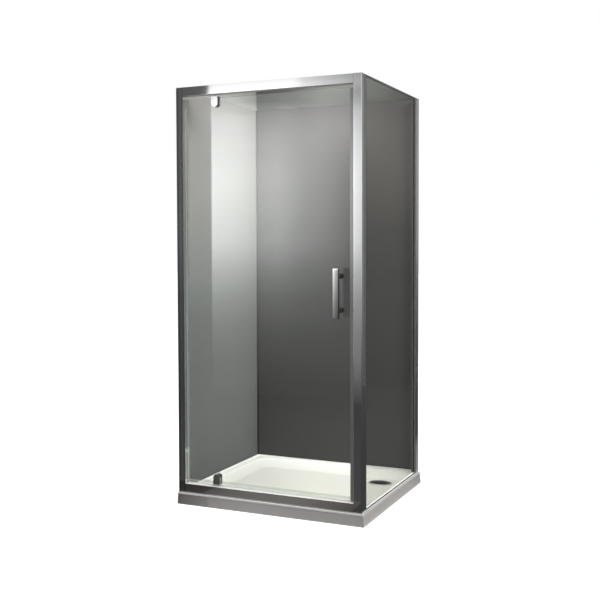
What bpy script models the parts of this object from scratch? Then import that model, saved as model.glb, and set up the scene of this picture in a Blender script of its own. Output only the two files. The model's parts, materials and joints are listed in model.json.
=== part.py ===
# Square shower cabin: pivot door in a slim frame, fixed glass return panel, two wall panels,
# low tray with aprons and a sunken waste.
# Metres, +Z up. The origin is on the floor, at the middle of the frame's plan.
# The door is on the -Y side, the glass return panel on the +X side.
import math

import bmesh
import bpy
from mathutils import Matrix, Vector

# Whole cabin
CABIN_WIDTH = 0.900
CABIN_DEPTH = 0.800
FRAME_HEIGHT = 1.850
TRAY_HEIGHT = 0.054
ROOF_THICKNESS = 0.004

# Clearances
FIT_GAP = 0.0003
CORE_GAP = 0.0005
CUT_OVERRUN = 0.004

# Extruded frame members
PROFILE_DEPTH = 0.040
PROFILE_WALL = 0.0018
PROFILE_EDGE = 0.0012
JAMB_FACE = 0.035
POST_FACE = 0.038
POST_EDGE = 0.003
HEADER_HEIGHT = 0.040
SILL_HEIGHT = 0.040
CHANNEL_REACH = 0.018
CAP_THICKNESS = 0.002
MAGNET_GROOVE_WIDTH = 0.009
MAGNET_GROOVE_DEPTH = 0.0035
PORT_WIDTH = 0.010
PORT_DEPTH = 0.009

# Wall panels
PANEL_THICKNESS = 0.008
FOOT_GASKET_HEIGHT = 0.005
CORNER_BEAD_WIDTH = 0.0029
CORNER_BEAD_LEG = 0.008

# Tray
LEDGE_PROUD = 0.010
LIP_HEIGHT = 0.008
LIP_EDGE = 0.003
LIP_CORNER = 0.004
LIP_WALL = 0.005
SHELL_THICKNESS = 0.005
UPSTAND_HEIGHT = 0.008
UPSTAND_ROOT = 0.001
BASIN_DEPTH = 0.024
RIM_LEFT = 0.035
RIM_RIGHT = 0.025
RIM_FRONT = 0.055
RIM_BACK = 0.035
SLOPE_LEFT = 0.080
SLOPE_RIGHT = 0.037
SLOPE_FRONT = 0.055
SLOPE_BACK = 0.100
BASIN_CORNER = 0.060
FLOOR_CORNER = 0.050
# Shares of the slope's width and of the basin's depth, from the rim to the floor
BASIN_SECTION_SHARES = ((0.0, 0.0), (0.04, 0.04), (0.10, 0.20), (0.16, 0.30), (0.40, 0.52), (0.65, 0.78),
                        (0.85, 0.94), (1.0, 1.0))
CORE_SETBACK = 0.003
APRON_WALL = 0.0025
APRON_SETBACK = 0.0015
APRON_DRAFT = 0.0055

# Waste
WASTE_FROM_RIGHT = 0.132
WASTE_FROM_BACK = 0.196
RECESS_RADIUS = 0.058
RECESS_DEPTH = 0.0155
RECESS_WALL = 0.004
RECESS_MOUTH = 0.003
OUTLET_RADIUS = 0.036
SLEEVE_CLEARANCE = 0.0015
SLEEVE_WALL = 0.003
SLEEVE_FOOT = 0.003
FLANGE_RADIUS = 0.048
FLANGE_THICKNESS = 0.0015
WASTE_GASKET = 0.001
WASTE_NUT_HEIGHT = 0.0045
WASTE_NUT_WIDTH = 0.011
WASTE_ROOM = 0.004
COVER_RADIUS = 0.0555
COVER_THICKNESS = 0.0022
COVER_DOME = 0.0015
COVER_EDGE = 0.001
COVER_SHOULDER = 0.002
COVER_LEG_WALL = 0.0024
COVER_LEG_DEPTH = 0.008
COVER_SLOT = 0.030
DOME_HALFWAY_SHARE = 0.75

# Glass return panel
RETURN_GLASS = 0.006
RETURN_CHANNEL_WIDTH = 0.020
RETURN_FRONT_REACH = 0.0145
RETURN_WALL_REACH = 0.0395
RETURN_FRONT_ROOM = 0.0022
RETURN_WALL_ROOM = 0.024
RETURN_GASKET_WEB = 0.001
FOOT_STRIP_HEIGHT = 0.0035
FOOT_STRIP_WIDTH = 0.012

# Door
DOOR_GLASS = 0.006
GLASS_EDGE = 0.0005
HINGE_SIDE_GAP = 0.0095
STRIKE_SIDE_GAP = 0.0125
DOOR_BOTTOM_GAP = 0.0145
DOOR_TOP_GAP = 0.016
PIVOT_OFFSET = 0.150
SEAL_GRIP = 0.008
SEAL_LEG = 0.0012
SEAL_WEB = 0.0014
SEAL_CLEARANCE = 0.0008
HINGE_FIN = 0.006
MAGNET_HEAD = 0.009
BOTTOM_FIN = 0.0024
BOTTOM_FIN_CLEARANCE = 0.0015

# Pivots
CLAMP_WIDTH = 0.034
CLAMP_HEIGHT = 0.0485
CLAMP_PLATE = 0.009
CLAMP_ROUND = 0.015
CLAMP_EDGE = 0.001
CLAMP_BRIDGE = 0.0065
CLAMP_PAD = 0.001
CLAMP_PAD_MARGIN = 0.001
CLAMP_SCREW_SPACING = 0.020
CLAMP_SCREW_BITE = 0.006
CLAMP_GLASS_HOLE = 0.006
PIN_RADIUS = 0.004
PIN_FOOT_RADIUS = 0.003
PIN_CLEARANCE = 0.0004
COLLAR_RADIUS = 0.007
TOP_COLLAR_HEIGHT = 0.002
BUSH_FLANGE_RADIUS = 0.011
BUSH_FLANGE = 0.0015
BUSH_WALL = 0.0033
BUSH_DEPTH = 0.013

# Handle
HANDLE_FROM_EDGE = 0.0495
HANDLE_HEIGHT = 0.931
HANDLE_LENGTH = 0.212
HANDLE_WIDTH = 0.027
HANDLE_THICKNESS = 0.012
HANDLE_EDGE = 0.0015
HANDLE_CENTRES = 0.145
STANDOFF_RADIUS = 0.010
STANDOFF_LENGTH = 0.050
WASHER_RADIUS = 0.012
WASHER_THICKNESS = 0.0015
HANDLE_SCREW_RADIUS = 0.003
HANDLE_SCREW_HEAD = 0.011
HANDLE_SCREW_HEAD_HEIGHT = 0.003
HANDLE_SCREW_BITE = 0.015
HANDLE_BUSH_WALL = 0.0024
HANDLE_BUSH_FLANGE = 0.0015

# Frame and panel screws
SCREW_RADIUS = 0.002
SCREW_HEAD = 0.0035
SCREW_HEAD_HEIGHT = 0.0016
SCREW_TIP_COVER = 0.0015
SCREW_PROTRUSION = 0.0025
PORT_SCREW_BITE = 0.014
SCREW_HEIGHT_SHARES = (0.08, 0.5, 0.92)
JAMB_SCREW_SHARES = (0.14, 0.46, 0.86)

MERGE_DISTANCE = 0.00001
ROUND_SEGMENTS = 24
SCREW_SEGMENTS = 12
WASTE_SEGMENTS = 40
CORNER_STEPS = 6
EDGE_STEPS = 3

# Planes that the pieces share
left = -CABIN_WIDTH / 2
right = CABIN_WIDTH / 2
front = -CABIN_DEPTH / 2
back = CABIN_DEPTH / 2
deck = TRAY_HEIGHT
top = TRAY_HEIGHT + FRAME_HEIGHT
roof_foot = top - ROOF_THICKNESS
roof_seat = roof_foot - FIT_GAP
frame_rear = front + PROFILE_DEPTH
glass_plane = front + PROFILE_DEPTH / 2
jamb_inner = left + JAMB_FACE
post_inner = right - POST_FACE
header_bottom = top - HEADER_HEIGHT
sill_top = deck + SILL_HEIGHT
upright_top = top - CAP_THICKNESS - FIT_GAP
panel_left_face = left + PANEL_THICKNESS
panel_back_face = back - PANEL_THICKNESS
panel_foot = deck + UPSTAND_HEIGHT + FOOT_GASKET_HEIGHT + 2 * FIT_GAP
basin_floor = deck - BASIN_DEPTH
tray_front = front - LEDGE_PROUD
tray_right = right + LEDGE_PROUD
core_front = front + CORE_SETBACK
core_right = right - CORE_SETBACK
glass_left = jamb_inner + HINGE_SIDE_GAP
glass_right = post_inner - STRIKE_SIDE_GAP
glass_bottom = sill_top + DOOR_BOTTOM_GAP
glass_top = header_bottom - DOOR_TOP_GAP
glass_front_face = glass_plane - DOOR_GLASS / 2
glass_back_face = glass_plane + DOOR_GLASS / 2
pivot_x = glass_left + PIVOT_OFFSET
return_plane = right - RETURN_CHANNEL_WIDTH / 2
post_channel_front = frame_rear + FIT_GAP
post_channel_mouth = post_channel_front + RETURN_FRONT_REACH
wall_channel_back = panel_back_face - FIT_GAP
wall_channel_mouth = wall_channel_back - RETURN_WALL_REACH
return_glass_front = (post_channel_front + PROFILE_WALL + RETURN_FRONT_ROOM + RETURN_GASKET_WEB
                      + 2 * FIT_GAP)
return_glass_back = wall_channel_back - PROFILE_WALL - RETURN_WALL_ROOM
waste_x = right - WASTE_FROM_RIGHT
waste_y = back - WASTE_FROM_BACK
recess_floor = basin_floor - RECESS_DEPTH
flange_foot = recess_floor + WASTE_GASKET + 2 * FIT_GAP
handle_x = glass_right - HANDLE_FROM_EDGE
handle_z = deck + HANDLE_HEIGHT

X_AXIS = Vector((1, 0, 0))
Y_AXIS = Vector((0, 1, 0))
Z_AXIS = Vector((0, 0, 1))

for old_object in list(bpy.data.objects):
    bpy.data.objects.remove(old_object, do_unlink=True)

parts = bpy.data.collections.new("shower_cabin")
cutters = bpy.data.collections.new("cutters")
for collection in (parts, cutters):
    bpy.context.scene.collection.children.link(collection)


# Materials

def material(name, colour, roughness, metallic=0.0, alpha=1.0):
    made = bpy.data.materials.new(name)
    made.use_nodes = True
    shader = made.node_tree.nodes["Principled BSDF"]
    shader.inputs["Base Color"].default_value = (*colour, 1.0)
    shader.inputs["Roughness"].default_value = roughness
    shader.inputs["Metallic"].default_value = metallic
    shader.inputs["Alpha"].default_value = alpha
    made.diffuse_color = (*colour, alpha)
    return made


acrylic = material("white_acrylic", (0.84, 0.85, 0.79), 0.18)
tray_foam = material("tray_core", (0.62, 0.60, 0.55), 0.85)
apron_metal = material("apron_metal", (0.36, 0.34, 0.33), 0.38, 0.55)
left_wall_grey = material("left_wall_grey", (0.20, 0.21, 0.20), 0.45)
back_wall_grey = material("back_wall_grey", (0.10, 0.10, 0.098), 0.45)
polished = material("polished_aluminium", (0.62, 0.62, 0.63), 0.16, 1.0)
clear_glass = material("clear_glass", (0.82, 0.90, 0.87), 0.02, 0.0, 0.22)
clear_seal = material("clear_seal", (0.78, 0.80, 0.79), 0.25, 0.0, 0.7)
dark_rubber = material("dark_rubber", (0.03, 0.03, 0.03), 0.7)
dark_chrome = material("dark_chrome", (0.16, 0.16, 0.16), 0.14, 1.0)
satin_steel = material("satin_steel", (0.50, 0.49, 0.46), 0.30, 1.0)
black_plastic = material("black_plastic", (0.045, 0.045, 0.045), 0.5)
nylon = material("nylon", (0.62, 0.62, 0.60), 0.45)


# Outlines

def rounded(points, steps=EDGE_STEPS):
    # A corner written (u, v, radius) becomes an arc; one written (u, v) stays sharp.
    outline = []
    count = len(points)
    for index, point in enumerate(points):
        corner = Vector(point[:2])
        radius = point[2] if len(point) == 3 else 0.0
        if radius == 0.0:
            outline.append(corner)
            continue
        before = (Vector(points[index - 1][:2]) - corner).normalized()
        after = (Vector(points[(index + 1) % count][:2]) - corner).normalized()
        half_angle = before.angle(after) / 2
        centre = corner + (before + after).normalized() * (radius / math.sin(half_angle))
        start = corner + before * (radius / math.tan(half_angle)) - centre
        end = corner + after * (radius / math.tan(half_angle)) - centre
        sweep = start.angle_signed(end)
        for step in range(steps + 1):
            turn = Matrix.Rotation(-sweep * step / steps, 2)
            outline.append(centre + turn @ start)
    return outline


def rectangle(u0, u1, v0, v1, radius=0.0):
    return [(u0, v0, radius), (u1, v0, radius), (u1, v1, radius), (u0, v1, radius)]


# Shapes

PLANES = {
    "X": Matrix(((0, 0, 1, 0), (1, 0, 0, 0), (0, 1, 0, 0), (0, 0, 0, 1))),
    "Y": Matrix(((0, 1, 0, 0), (0, 0, 1, 0), (1, 0, 0, 0), (0, 0, 0, 1))),
    "Z": Matrix.Identity(4),
}


def finish(piece, surface):
    piece.data.materials.clear()
    piece.data.materials.append(surface)
    return piece


def as_cutter(piece):
    piece.hide_render = True
    piece.display_type = "WIRE"
    return piece


def clean(mesh):
    body = bmesh.new()
    body.from_mesh(mesh)
    bmesh.ops.remove_doubles(body, verts=body.verts, dist=MERGE_DISTANCE)
    bmesh.ops.recalc_face_normals(body, faces=body.faces)
    body.to_mesh(mesh)
    body.free()


def extrusion(name, outlines, axis, low, high, home=None):
    # A flat outline (and any holes in it) drawn square to the axis and drawn out from low to high.
    # Square to X the outline is (y, z), square to Y it is (x, z), square to Z it is (x, y).
    curve = bpy.data.curves.new(name, "CURVE")
    curve.dimensions = "2D"
    curve.fill_mode = "BOTH"
    curve.extrude = (high - low) / 2
    for points in outlines:
        points = rounded(points)
        spline = curve.splines.new("POLY")
        spline.points.add(len(points) - 1)
        for spot, (u, v) in zip(spline.points, points):
            spot.co = (v, u, 0, 1) if axis == "Y" else (u, v, 0, 1)
        spline.use_cyclic_u = True
    guide = bpy.data.objects.new(name + "_outline", curve)
    parts.objects.link(guide)
    middle = Matrix.Translation((0, 0, (low + high) / 2))
    guide.matrix_world = PLANES[axis] @ middle
    bpy.context.view_layer.update()
    mesh = bpy.data.meshes.new_from_object(guide.evaluated_get(bpy.context.evaluated_depsgraph_get()))
    mesh.name = name
    clean(mesh)
    piece = bpy.data.objects.new(name, mesh)
    (home or parts).objects.link(piece)
    piece.matrix_world = guide.matrix_world
    bpy.data.objects.remove(guide, do_unlink=True)
    bpy.data.curves.remove(curve)
    return piece


def box(name, xs, ys, zs, edge=0.0, home=None):
    mesh = bpy.data.meshes.new(name)
    body = bmesh.new()
    bmesh.ops.create_cube(body, size=1.0)
    bmesh.ops.scale(body, vec=(xs[1] - xs[0], ys[1] - ys[0], zs[1] - zs[0]), verts=body.verts)
    body.to_mesh(mesh)
    body.free()
    piece = bpy.data.objects.new(name, mesh)
    piece.location = (sum(xs) / 2, sum(ys) / 2, sum(zs) / 2)
    (home or parts).objects.link(piece)
    if edge:
        bevel = piece.modifiers.new("softened_edges", "BEVEL")
        bevel.width = edge
        bevel.segments = 2
        bevel.limit_method = "ANGLE"
    return piece


def turned(name, profile, place, direction=Z_AXIS, segments=ROUND_SEGMENTS, closed=False, home=None):
    # The profile is (radius, height) and runs down the outer side; height grows along the direction.
    mesh = bpy.data.meshes.new(name)
    edges = [(index, index + 1) for index in range(len(profile) - 1)]
    if closed:
        edges.append((len(profile) - 1, 0))
    mesh.from_pydata([(radius, 0, height) for radius, height in profile], edges, [])
    piece = bpy.data.objects.new(name, mesh)
    (home or parts).objects.link(piece)
    piece.location = place
    piece.rotation_euler = Z_AXIS.rotation_difference(direction).to_euler()
    screw = piece.modifiers.new("turned", "SCREW")
    screw.axis = "Z"
    screw.angle = math.tau
    screw.steps = segments
    screw.render_steps = segments
    screw.use_smooth_shade = True
    screw.use_merge_vertices = True
    screw.merge_threshold = MERGE_DISTANCE
    return piece


def ring(name, inner, outer, low, high, place, direction=Z_AXIS, segments=ROUND_SEGMENTS, home=None):
    profile = [(outer, high), (outer, low), (inner, low), (inner, high)]
    return turned(name, profile, place, direction, segments, closed=True, home=home)


def rod(name, radius, low, high, place, direction=Z_AXIS, segments=ROUND_SEGMENTS, home=None):
    profile = [(0, high), (radius, high), (radius, low), (0, low)]
    return turned(name, profile, place, direction, segments, home=home)


def joined_cutter(name, pieces):
    # Several separate cutters as one object.
    together = bmesh.new()
    bpy.context.view_layer.update()
    depsgraph = bpy.context.evaluated_depsgraph_get()
    for piece in pieces:
        mesh = bpy.data.meshes.new_from_object(piece.evaluated_get(depsgraph))
        mesh.transform(piece.matrix_world)
        together.from_mesh(mesh)
        bpy.data.meshes.remove(mesh)
    for piece in pieces:
        bpy.data.objects.remove(piece, do_unlink=True)
    mesh = bpy.data.meshes.new(name)
    together.to_mesh(mesh)
    together.free()
    cutter = bpy.data.objects.new(name, mesh)
    cutters.objects.link(cutter)
    return as_cutter(cutter)


def combine(piece, other, operation):
    step = piece.modifiers.new(operation.lower() + "_" + other.name, "BOOLEAN")
    step.operation = operation
    step.solver = "EXACT"
    step.object = other


def cut(piece, cutter):
    combine(piece, cutter, "DIFFERENCE")


def mitre(piece, point, outward):
    # Cuts the piece off square to the outward direction and closes the end.
    body = bmesh.new()
    body.from_mesh(piece.data)
    body.transform(piece.matrix_world)
    everything = list(body.verts) + list(body.edges) + list(body.faces)
    bmesh.ops.bisect_plane(body, geom=everything, plane_co=point, plane_no=outward, clear_outer=True)
    open_edges = [edge for edge in body.edges if edge.is_boundary]
    bmesh.ops.holes_fill(body, edges=open_edges, sides=0)
    bmesh.ops.recalc_face_normals(body, faces=body.faces)
    body.transform(piece.matrix_world.inverted())
    body.to_mesh(piece.data)
    body.free()


def screws(name, places, direction, bite, radius=SCREW_RADIUS, head=SCREW_HEAD,
           head_height=SCREW_HEAD_HEIGHT):
    # Each place is under the screw's head; the shank runs from there along the direction.
    profile = [(0, head_height), (head, head_height), (head, 0), (radius, 0), (radius, -bite), (0, -bite)]
    made = []
    for number, place in enumerate(places, 1):
        screw = turned(f"{name}_{number}", profile, place, -direction, SCREW_SEGMENTS)
        made.append(finish(screw, satin_steel))
    return made


def screw_holes(name, places, direction, bite, radius=SCREW_RADIUS):
    made = []
    for place in places:
        made.append(rod(name, radius + FIT_GAP, -bite - FIT_GAP, FIT_GAP * 2, place, -direction,
                        SCREW_SEGMENTS, cutters))
    return joined_cutter(name, made)


# Tray

def basin_plan(share):
    # Low and high corners of the basin, from its rim (share 0) to its floor (share 1).
    low = (left + RIM_LEFT + SLOPE_LEFT * share, front + RIM_FRONT + SLOPE_FRONT * share)
    high = (right - RIM_RIGHT - SLOPE_RIGHT * share, back - RIM_BACK - SLOPE_BACK * share)
    return low, high, BASIN_CORNER + (FLOOR_CORNER - BASIN_CORNER) * share


def tray_plan(inset):
    radius = max(LIP_CORNER - inset, CORE_GAP)
    return (left + inset, tray_front + inset), (tray_right - inset, back - inset), radius


def loop_points(plan, height):
    (x0, y0), (x1, y1), radius = plan
    corners = [(x1, y0, -90), (x1, y1, 0), (x0, y1, 90), (x0, y0, 180)]
    points = []
    for x, y, first in corners:
        centre = (x - radius if x == x1 else x + radius, y - radius if y == y1 else y + radius)
        for step in range(CORNER_STEPS + 1):
            angle = math.radians(first + 90 * step / CORNER_STEPS)
            points.append((centre[0] + radius * math.cos(angle), centre[1] + radius * math.sin(angle), height))
    return points


def loft(name, loops, home=None):
    # Skins a stack of loops and closes both ends. Each patch is split along the diagonal that starts on
    # its upper loop, so a skin and the hollow cut for it match.
    body = bmesh.new()
    rows = [[body.verts.new(point) for point in loop] for loop in loops]
    for row, following in zip(rows, rows[1:]):
        downward = row[0].co.z >= following[0].co.z
        for index in range(len(row)):
            after = (index + 1) % len(row)
            if downward:
                body.faces.new((row[index], row[after], following[after]))
                body.faces.new((row[index], following[after], following[index]))
            else:
                body.faces.new((row[index], row[after], following[index]))
                body.faces.new((row[after], following[after], following[index]))
    body.faces.new(list(reversed(rows[0])))
    body.faces.new(rows[-1])
    bmesh.ops.recalc_face_normals(body, faces=body.faces)
    mesh = bpy.data.meshes.new(name)
    body.to_mesh(mesh)
    body.free()
    piece = bpy.data.objects.new(name, mesh)
    (home or parts).objects.link(piece)
    return piece


def basin_loops(drop):
    loops = []
    for width_share, depth_share in BASIN_SECTION_SHARES:
        loops.append(loop_points(basin_plan(width_share), deck - BASIN_DEPTH * depth_share - drop))
    return loops


def make_tray():
    underside = list(reversed(basin_loops(SHELL_THICKNESS)))
    underside.append(loop_points(tray_plan(LIP_WALL), deck - SHELL_THICKNESS))
    underside.append(loop_points(tray_plan(LIP_WALL), deck - LIP_HEIGHT))
    edge = [loop_points(tray_plan(0), deck - LIP_HEIGHT), loop_points(tray_plan(0), deck - LIP_EDGE)]
    half = LIP_EDGE * (1 - math.sqrt(0.5))
    edge.append(loop_points(tray_plan(half), deck - half))
    edge.append(loop_points(tray_plan(LIP_EDGE), deck))
    shell = loft("tray_shell", underside + edge + basin_loops(0))

    # Low upstand along the two walls, which the wall panels stand on
    upstand_z = (deck - UPSTAND_ROOT, deck + UPSTAND_HEIGHT)
    upstand_front = front + PROFILE_WALL + FIT_GAP
    left_upstand = box("left_upstand", (left, panel_left_face), (upstand_front, back), upstand_z, home=cutters)
    back_upstand = box("back_upstand", (left, right), (panel_back_face, back), upstand_z, home=cutters)
    for upstand in (left_upstand, back_upstand):
        combine(shell, as_cutter(upstand), "UNION")

    # Sunken dish of the waste
    place = (waste_x, waste_y, 0)
    dish = rod("dish_outside", RECESS_RADIUS + RECESS_WALL, recess_floor - RECESS_WALL,
               basin_floor - SHELL_THICKNESS / 2, place, segments=WASTE_SEGMENTS, home=cutters)
    combine(shell, as_cutter(dish), "UNION")
    mouth = [(0, basin_floor + CUT_OVERRUN), (RECESS_RADIUS + RECESS_MOUTH, basin_floor + CUT_OVERRUN),
             (RECESS_RADIUS + RECESS_MOUTH, basin_floor)]
    for step in range(1, EDGE_STEPS + 1):
        angle = math.radians(90 * step / EDGE_STEPS)
        mouth.append((RECESS_RADIUS + RECESS_MOUTH * (1 - math.sin(angle)),
                      basin_floor - RECESS_MOUTH * (1 - math.cos(angle))))
    mouth += [(RECESS_RADIUS, recess_floor), (OUTLET_RADIUS, recess_floor),
              (OUTLET_RADIUS, recess_floor - RECESS_WALL - CUT_OVERRUN),
              (0, recess_floor - RECESS_WALL - CUT_OVERRUN)]
    inside = turned("dish_inside", mouth, place, segments=WASTE_SEGMENTS, home=cutters)
    cut(shell, as_cutter(inside))
    finish(shell, acrylic)

    core_top = deck - SHELL_THICKNESS - CORE_GAP
    tucked_in = LIP_WALL + CORE_GAP
    core = box("tray_core", (left + tucked_in, core_right), (core_front, back - tucked_in), (0, core_top))
    hollow = basin_loops(SHELL_THICKNESS + CORE_GAP)
    hollow.insert(0, loop_points(basin_plan(0), deck + CUT_OVERRUN))
    cut(core, as_cutter(loft("basin_hollow", hollow, cutters)))
    well = rod("waste_well", RECESS_RADIUS + RECESS_WALL + WASTE_ROOM, -CUT_OVERRUN, deck, place,
               segments=WASTE_SEGMENTS, home=cutters)
    cut(core, as_cutter(well))
    finish(core, tray_foam)


def apron_section(core_face, lip_face, outward):
    # C-shaped section that clips under the tray's lip, leaning out to its foot.
    high = deck - LIP_HEIGHT - FIT_GAP
    inner = core_face + outward * FIT_GAP
    head = lip_face - outward * APRON_SETBACK
    foot = head + outward * APRON_DRAFT
    skin = outward * APRON_WALL
    return [(inner, high), (head, high), (foot, 0), (inner, 0), (inner, APRON_WALL),
            (foot - skin, APRON_WALL), (head - skin, high - APRON_WALL), (inner, high - APRON_WALL)]


def make_aprons():
    corner = Vector((tray_right, tray_front, 0))
    overrun = APRON_DRAFT + PROFILE_DEPTH
    front_apron = extrusion("front_apron", [apron_section(core_front, tray_front, -1)], "X", left,
                            tray_right + overrun)
    side_apron = extrusion("side_apron", [apron_section(core_right, tray_right, 1)], "Y", tray_front - overrun,
                           back)
    toward_side = Vector((1, 1, 0)).normalized()
    mitre(front_apron, corner - toward_side * FIT_GAP / 2, toward_side)
    mitre(side_apron, corner + toward_side * FIT_GAP / 2, -toward_side)
    for apron in (front_apron, side_apron):
        finish(apron, apron_metal)


def make_waste():
    place = (waste_x, waste_y, 0)
    sleeve_outer = OUTLET_RADIUS - SLEEVE_CLEARANCE
    sleeve_inner = sleeve_outer - SLEEVE_WALL
    gasket = ring("waste_gasket", sleeve_outer + FIT_GAP, FLANGE_RADIUS, recess_floor + FIT_GAP,
                  recess_floor + FIT_GAP + WASTE_GASKET, place, segments=WASTE_SEGMENTS)
    finish(gasket, dark_rubber)
    flange_top = flange_foot + FLANGE_THICKNESS
    profile = [(FLANGE_RADIUS, flange_top), (FLANGE_RADIUS, flange_foot), (sleeve_outer, flange_foot),
               (sleeve_outer, SLEEVE_FOOT), (sleeve_inner, SLEEVE_FOOT), (sleeve_inner, flange_top)]
    finish(turned("waste_flange", profile, place, segments=WASTE_SEGMENTS, closed=True), dark_chrome)
    nut_top = recess_floor - RECESS_WALL - FIT_GAP
    nut = ring("waste_nut", sleeve_outer + FIT_GAP, sleeve_outer + FIT_GAP + WASTE_NUT_WIDTH,
               nut_top - WASTE_NUT_HEIGHT, nut_top, place, segments=WASTE_SEGMENTS)
    finish(nut, black_plastic)

    # Domed cover, level with the basin floor, on four legs that stand in the sleeve.
    cover_top = basin_floor + COVER_EDGE
    cover_foot = cover_top - COVER_THICKNESS
    leg_outer = sleeve_inner - FIT_GAP
    leg_inner = leg_outer - COVER_LEG_WALL
    shoulder = leg_outer + COVER_SHOULDER
    shoulder_foot = flange_top + FIT_GAP
    leg_foot = flange_top - COVER_LEG_DEPTH
    dome_half = COVER_RADIUS / 2
    profile = [(0, cover_top + COVER_DOME), (dome_half, cover_top + COVER_DOME * DOME_HALFWAY_SHARE),
               (COVER_RADIUS - COVER_EDGE, cover_top), (COVER_RADIUS, cover_top - COVER_EDGE),
               (COVER_RADIUS, cover_foot), (shoulder, cover_foot), (shoulder, shoulder_foot),
               (leg_outer, shoulder_foot), (leg_outer, leg_foot), (leg_inner, leg_foot),
               (leg_inner, cover_foot), (0, cover_foot)]
    cover = turned("waste_cover", profile, place, segments=WASTE_SEGMENTS)
    slot_zs = (leg_foot - CUT_OVERRUN, cover_foot - FIT_GAP)
    for name, half_x, half_y in (("slots_along_x", shoulder + CUT_OVERRUN, COVER_SLOT / 2),
                                 ("slots_along_y", COVER_SLOT / 2, shoulder + CUT_OVERRUN)):
        slot = box(name, (waste_x - half_x, waste_x + half_x), (waste_y - half_y, waste_y + half_y), slot_zs,
                   home=cutters)
        cut(cover, as_cutter(slot))
    finish(cover, dark_chrome)


# Wall panels

def make_walls():
    gasket_foot = deck + UPSTAND_HEIGHT + FIT_GAP
    side_ys = (front + PROFILE_WALL + FIT_GAP, panel_back_face - FIT_GAP)
    gasket = [(left, side_ys[0]), (panel_left_face, side_ys[0]), (panel_left_face, panel_back_face),
              (right, panel_back_face), (right, back), (left, back)]
    foot_strip = extrusion("wall_foot_gasket", [gasket], "Z", gasket_foot, gasket_foot + FOOT_GASKET_HEIGHT)
    finish(foot_strip, dark_rubber)
    roof_front = frame_rear + FIT_GAP
    side = [(side_ys[0], panel_foot), (side_ys[1], panel_foot), (side_ys[1], roof_seat),
            (frame_rear, roof_seat), (frame_rear, top), (side_ys[0], top)]
    left_panel = extrusion("left_wall_panel", [side], "X", left, panel_left_face)
    bead_inner = panel_left_face + FIT_GAP + CORNER_BEAD_WIDTH
    back_panel = box("back_wall_panel", (bead_inner + FIT_GAP, right), (panel_back_face, back),
                     (panel_foot, roof_seat))
    bead = [(left, back), (left, panel_back_face), (panel_left_face + FIT_GAP, panel_back_face),
            (panel_left_face + FIT_GAP, panel_back_face - CORNER_BEAD_LEG),
            (bead_inner, panel_back_face - CORNER_BEAD_LEG), (bead_inner, back)]
    finish(extrusion("rear_corner_profile", [bead], "Z", panel_foot, roof_seat), satin_steel)
    roof = box("roof_panel", (left, right), (roof_front, back), (roof_foot, top), GLASS_EDGE)
    finish(roof, back_wall_grey)
    finish(left_panel, left_wall_grey)
    finish(back_panel, back_wall_grey)
    return left_panel, back_panel


# Frame

def make_jamb(left_panel):
    foot = deck + FIT_GAP
    inner = jamb_inner - PROFILE_WALL
    panel_side = panel_left_face + FIT_GAP
    section = [(left, front, PROFILE_EDGE), (jamb_inner, front, PROFILE_EDGE),
               (jamb_inner, frame_rear, PROFILE_EDGE), (panel_side, frame_rear),
               (panel_side, frame_rear - PROFILE_WALL), (inner, frame_rear - PROFILE_WALL),
               (inner, front + PROFILE_WALL), (left, front + PROFILE_WALL)]
    jamb = extrusion("left_jamb", [section], "Z", foot, upright_top)
    cap_section = [(left, front, PROFILE_EDGE), (jamb_inner, front, PROFILE_EDGE),
                   (jamb_inner, frame_rear, PROFILE_EDGE), (panel_side, frame_rear),
                   (panel_side, front + PROFILE_WALL), (left, front + PROFILE_WALL)]
    finish(extrusion("jamb_cap", [cap_section], "Z", top - CAP_THICKNESS, top), satin_steel)

    y0 = front + PROFILE_WALL + FIT_GAP
    y1 = frame_rear - PROFILE_WALL - FIT_GAP
    x0 = panel_side
    x1 = panel_side + CHANNEL_REACH
    channel_section = [(x0, y0), (x1, y0), (x1, y0 + PROFILE_WALL), (x0 + PROFILE_WALL, y0 + PROFILE_WALL),
                       (x0 + PROFILE_WALL, y1 - PROFILE_WALL), (x1, y1 - PROFILE_WALL), (x1, y1), (x0, y1)]
    channel = extrusion("left_wall_channel", [channel_section], "Z", foot, upright_top)

    head_x = x0 + PROFILE_WALL + FIT_GAP
    bite = head_x - left - SCREW_TIP_COVER
    places = [(head_x, glass_plane, deck + FRAME_HEIGHT * share) for share in SCREW_HEIGHT_SHARES]
    holes = screw_holes("left_channel_holes", places, -X_AXIS, bite)
    cut(channel, holes)
    cut(left_panel, holes)

    bite = PROFILE_WALL * 2 + FIT_GAP * 2 + SCREW_PROTRUSION
    middle_x = (x0 + x1) / 2
    places = [(middle_x, frame_rear + FIT_GAP, deck + FRAME_HEIGHT * share) for share in JAMB_SCREW_SHARES]
    holes = screw_holes("jamb_holes", places, -Y_AXIS, bite)
    cut(jamb, holes)
    cut(channel, holes)
    finish(jamb, polished)
    finish(channel, polished)
    return jamb


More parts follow.
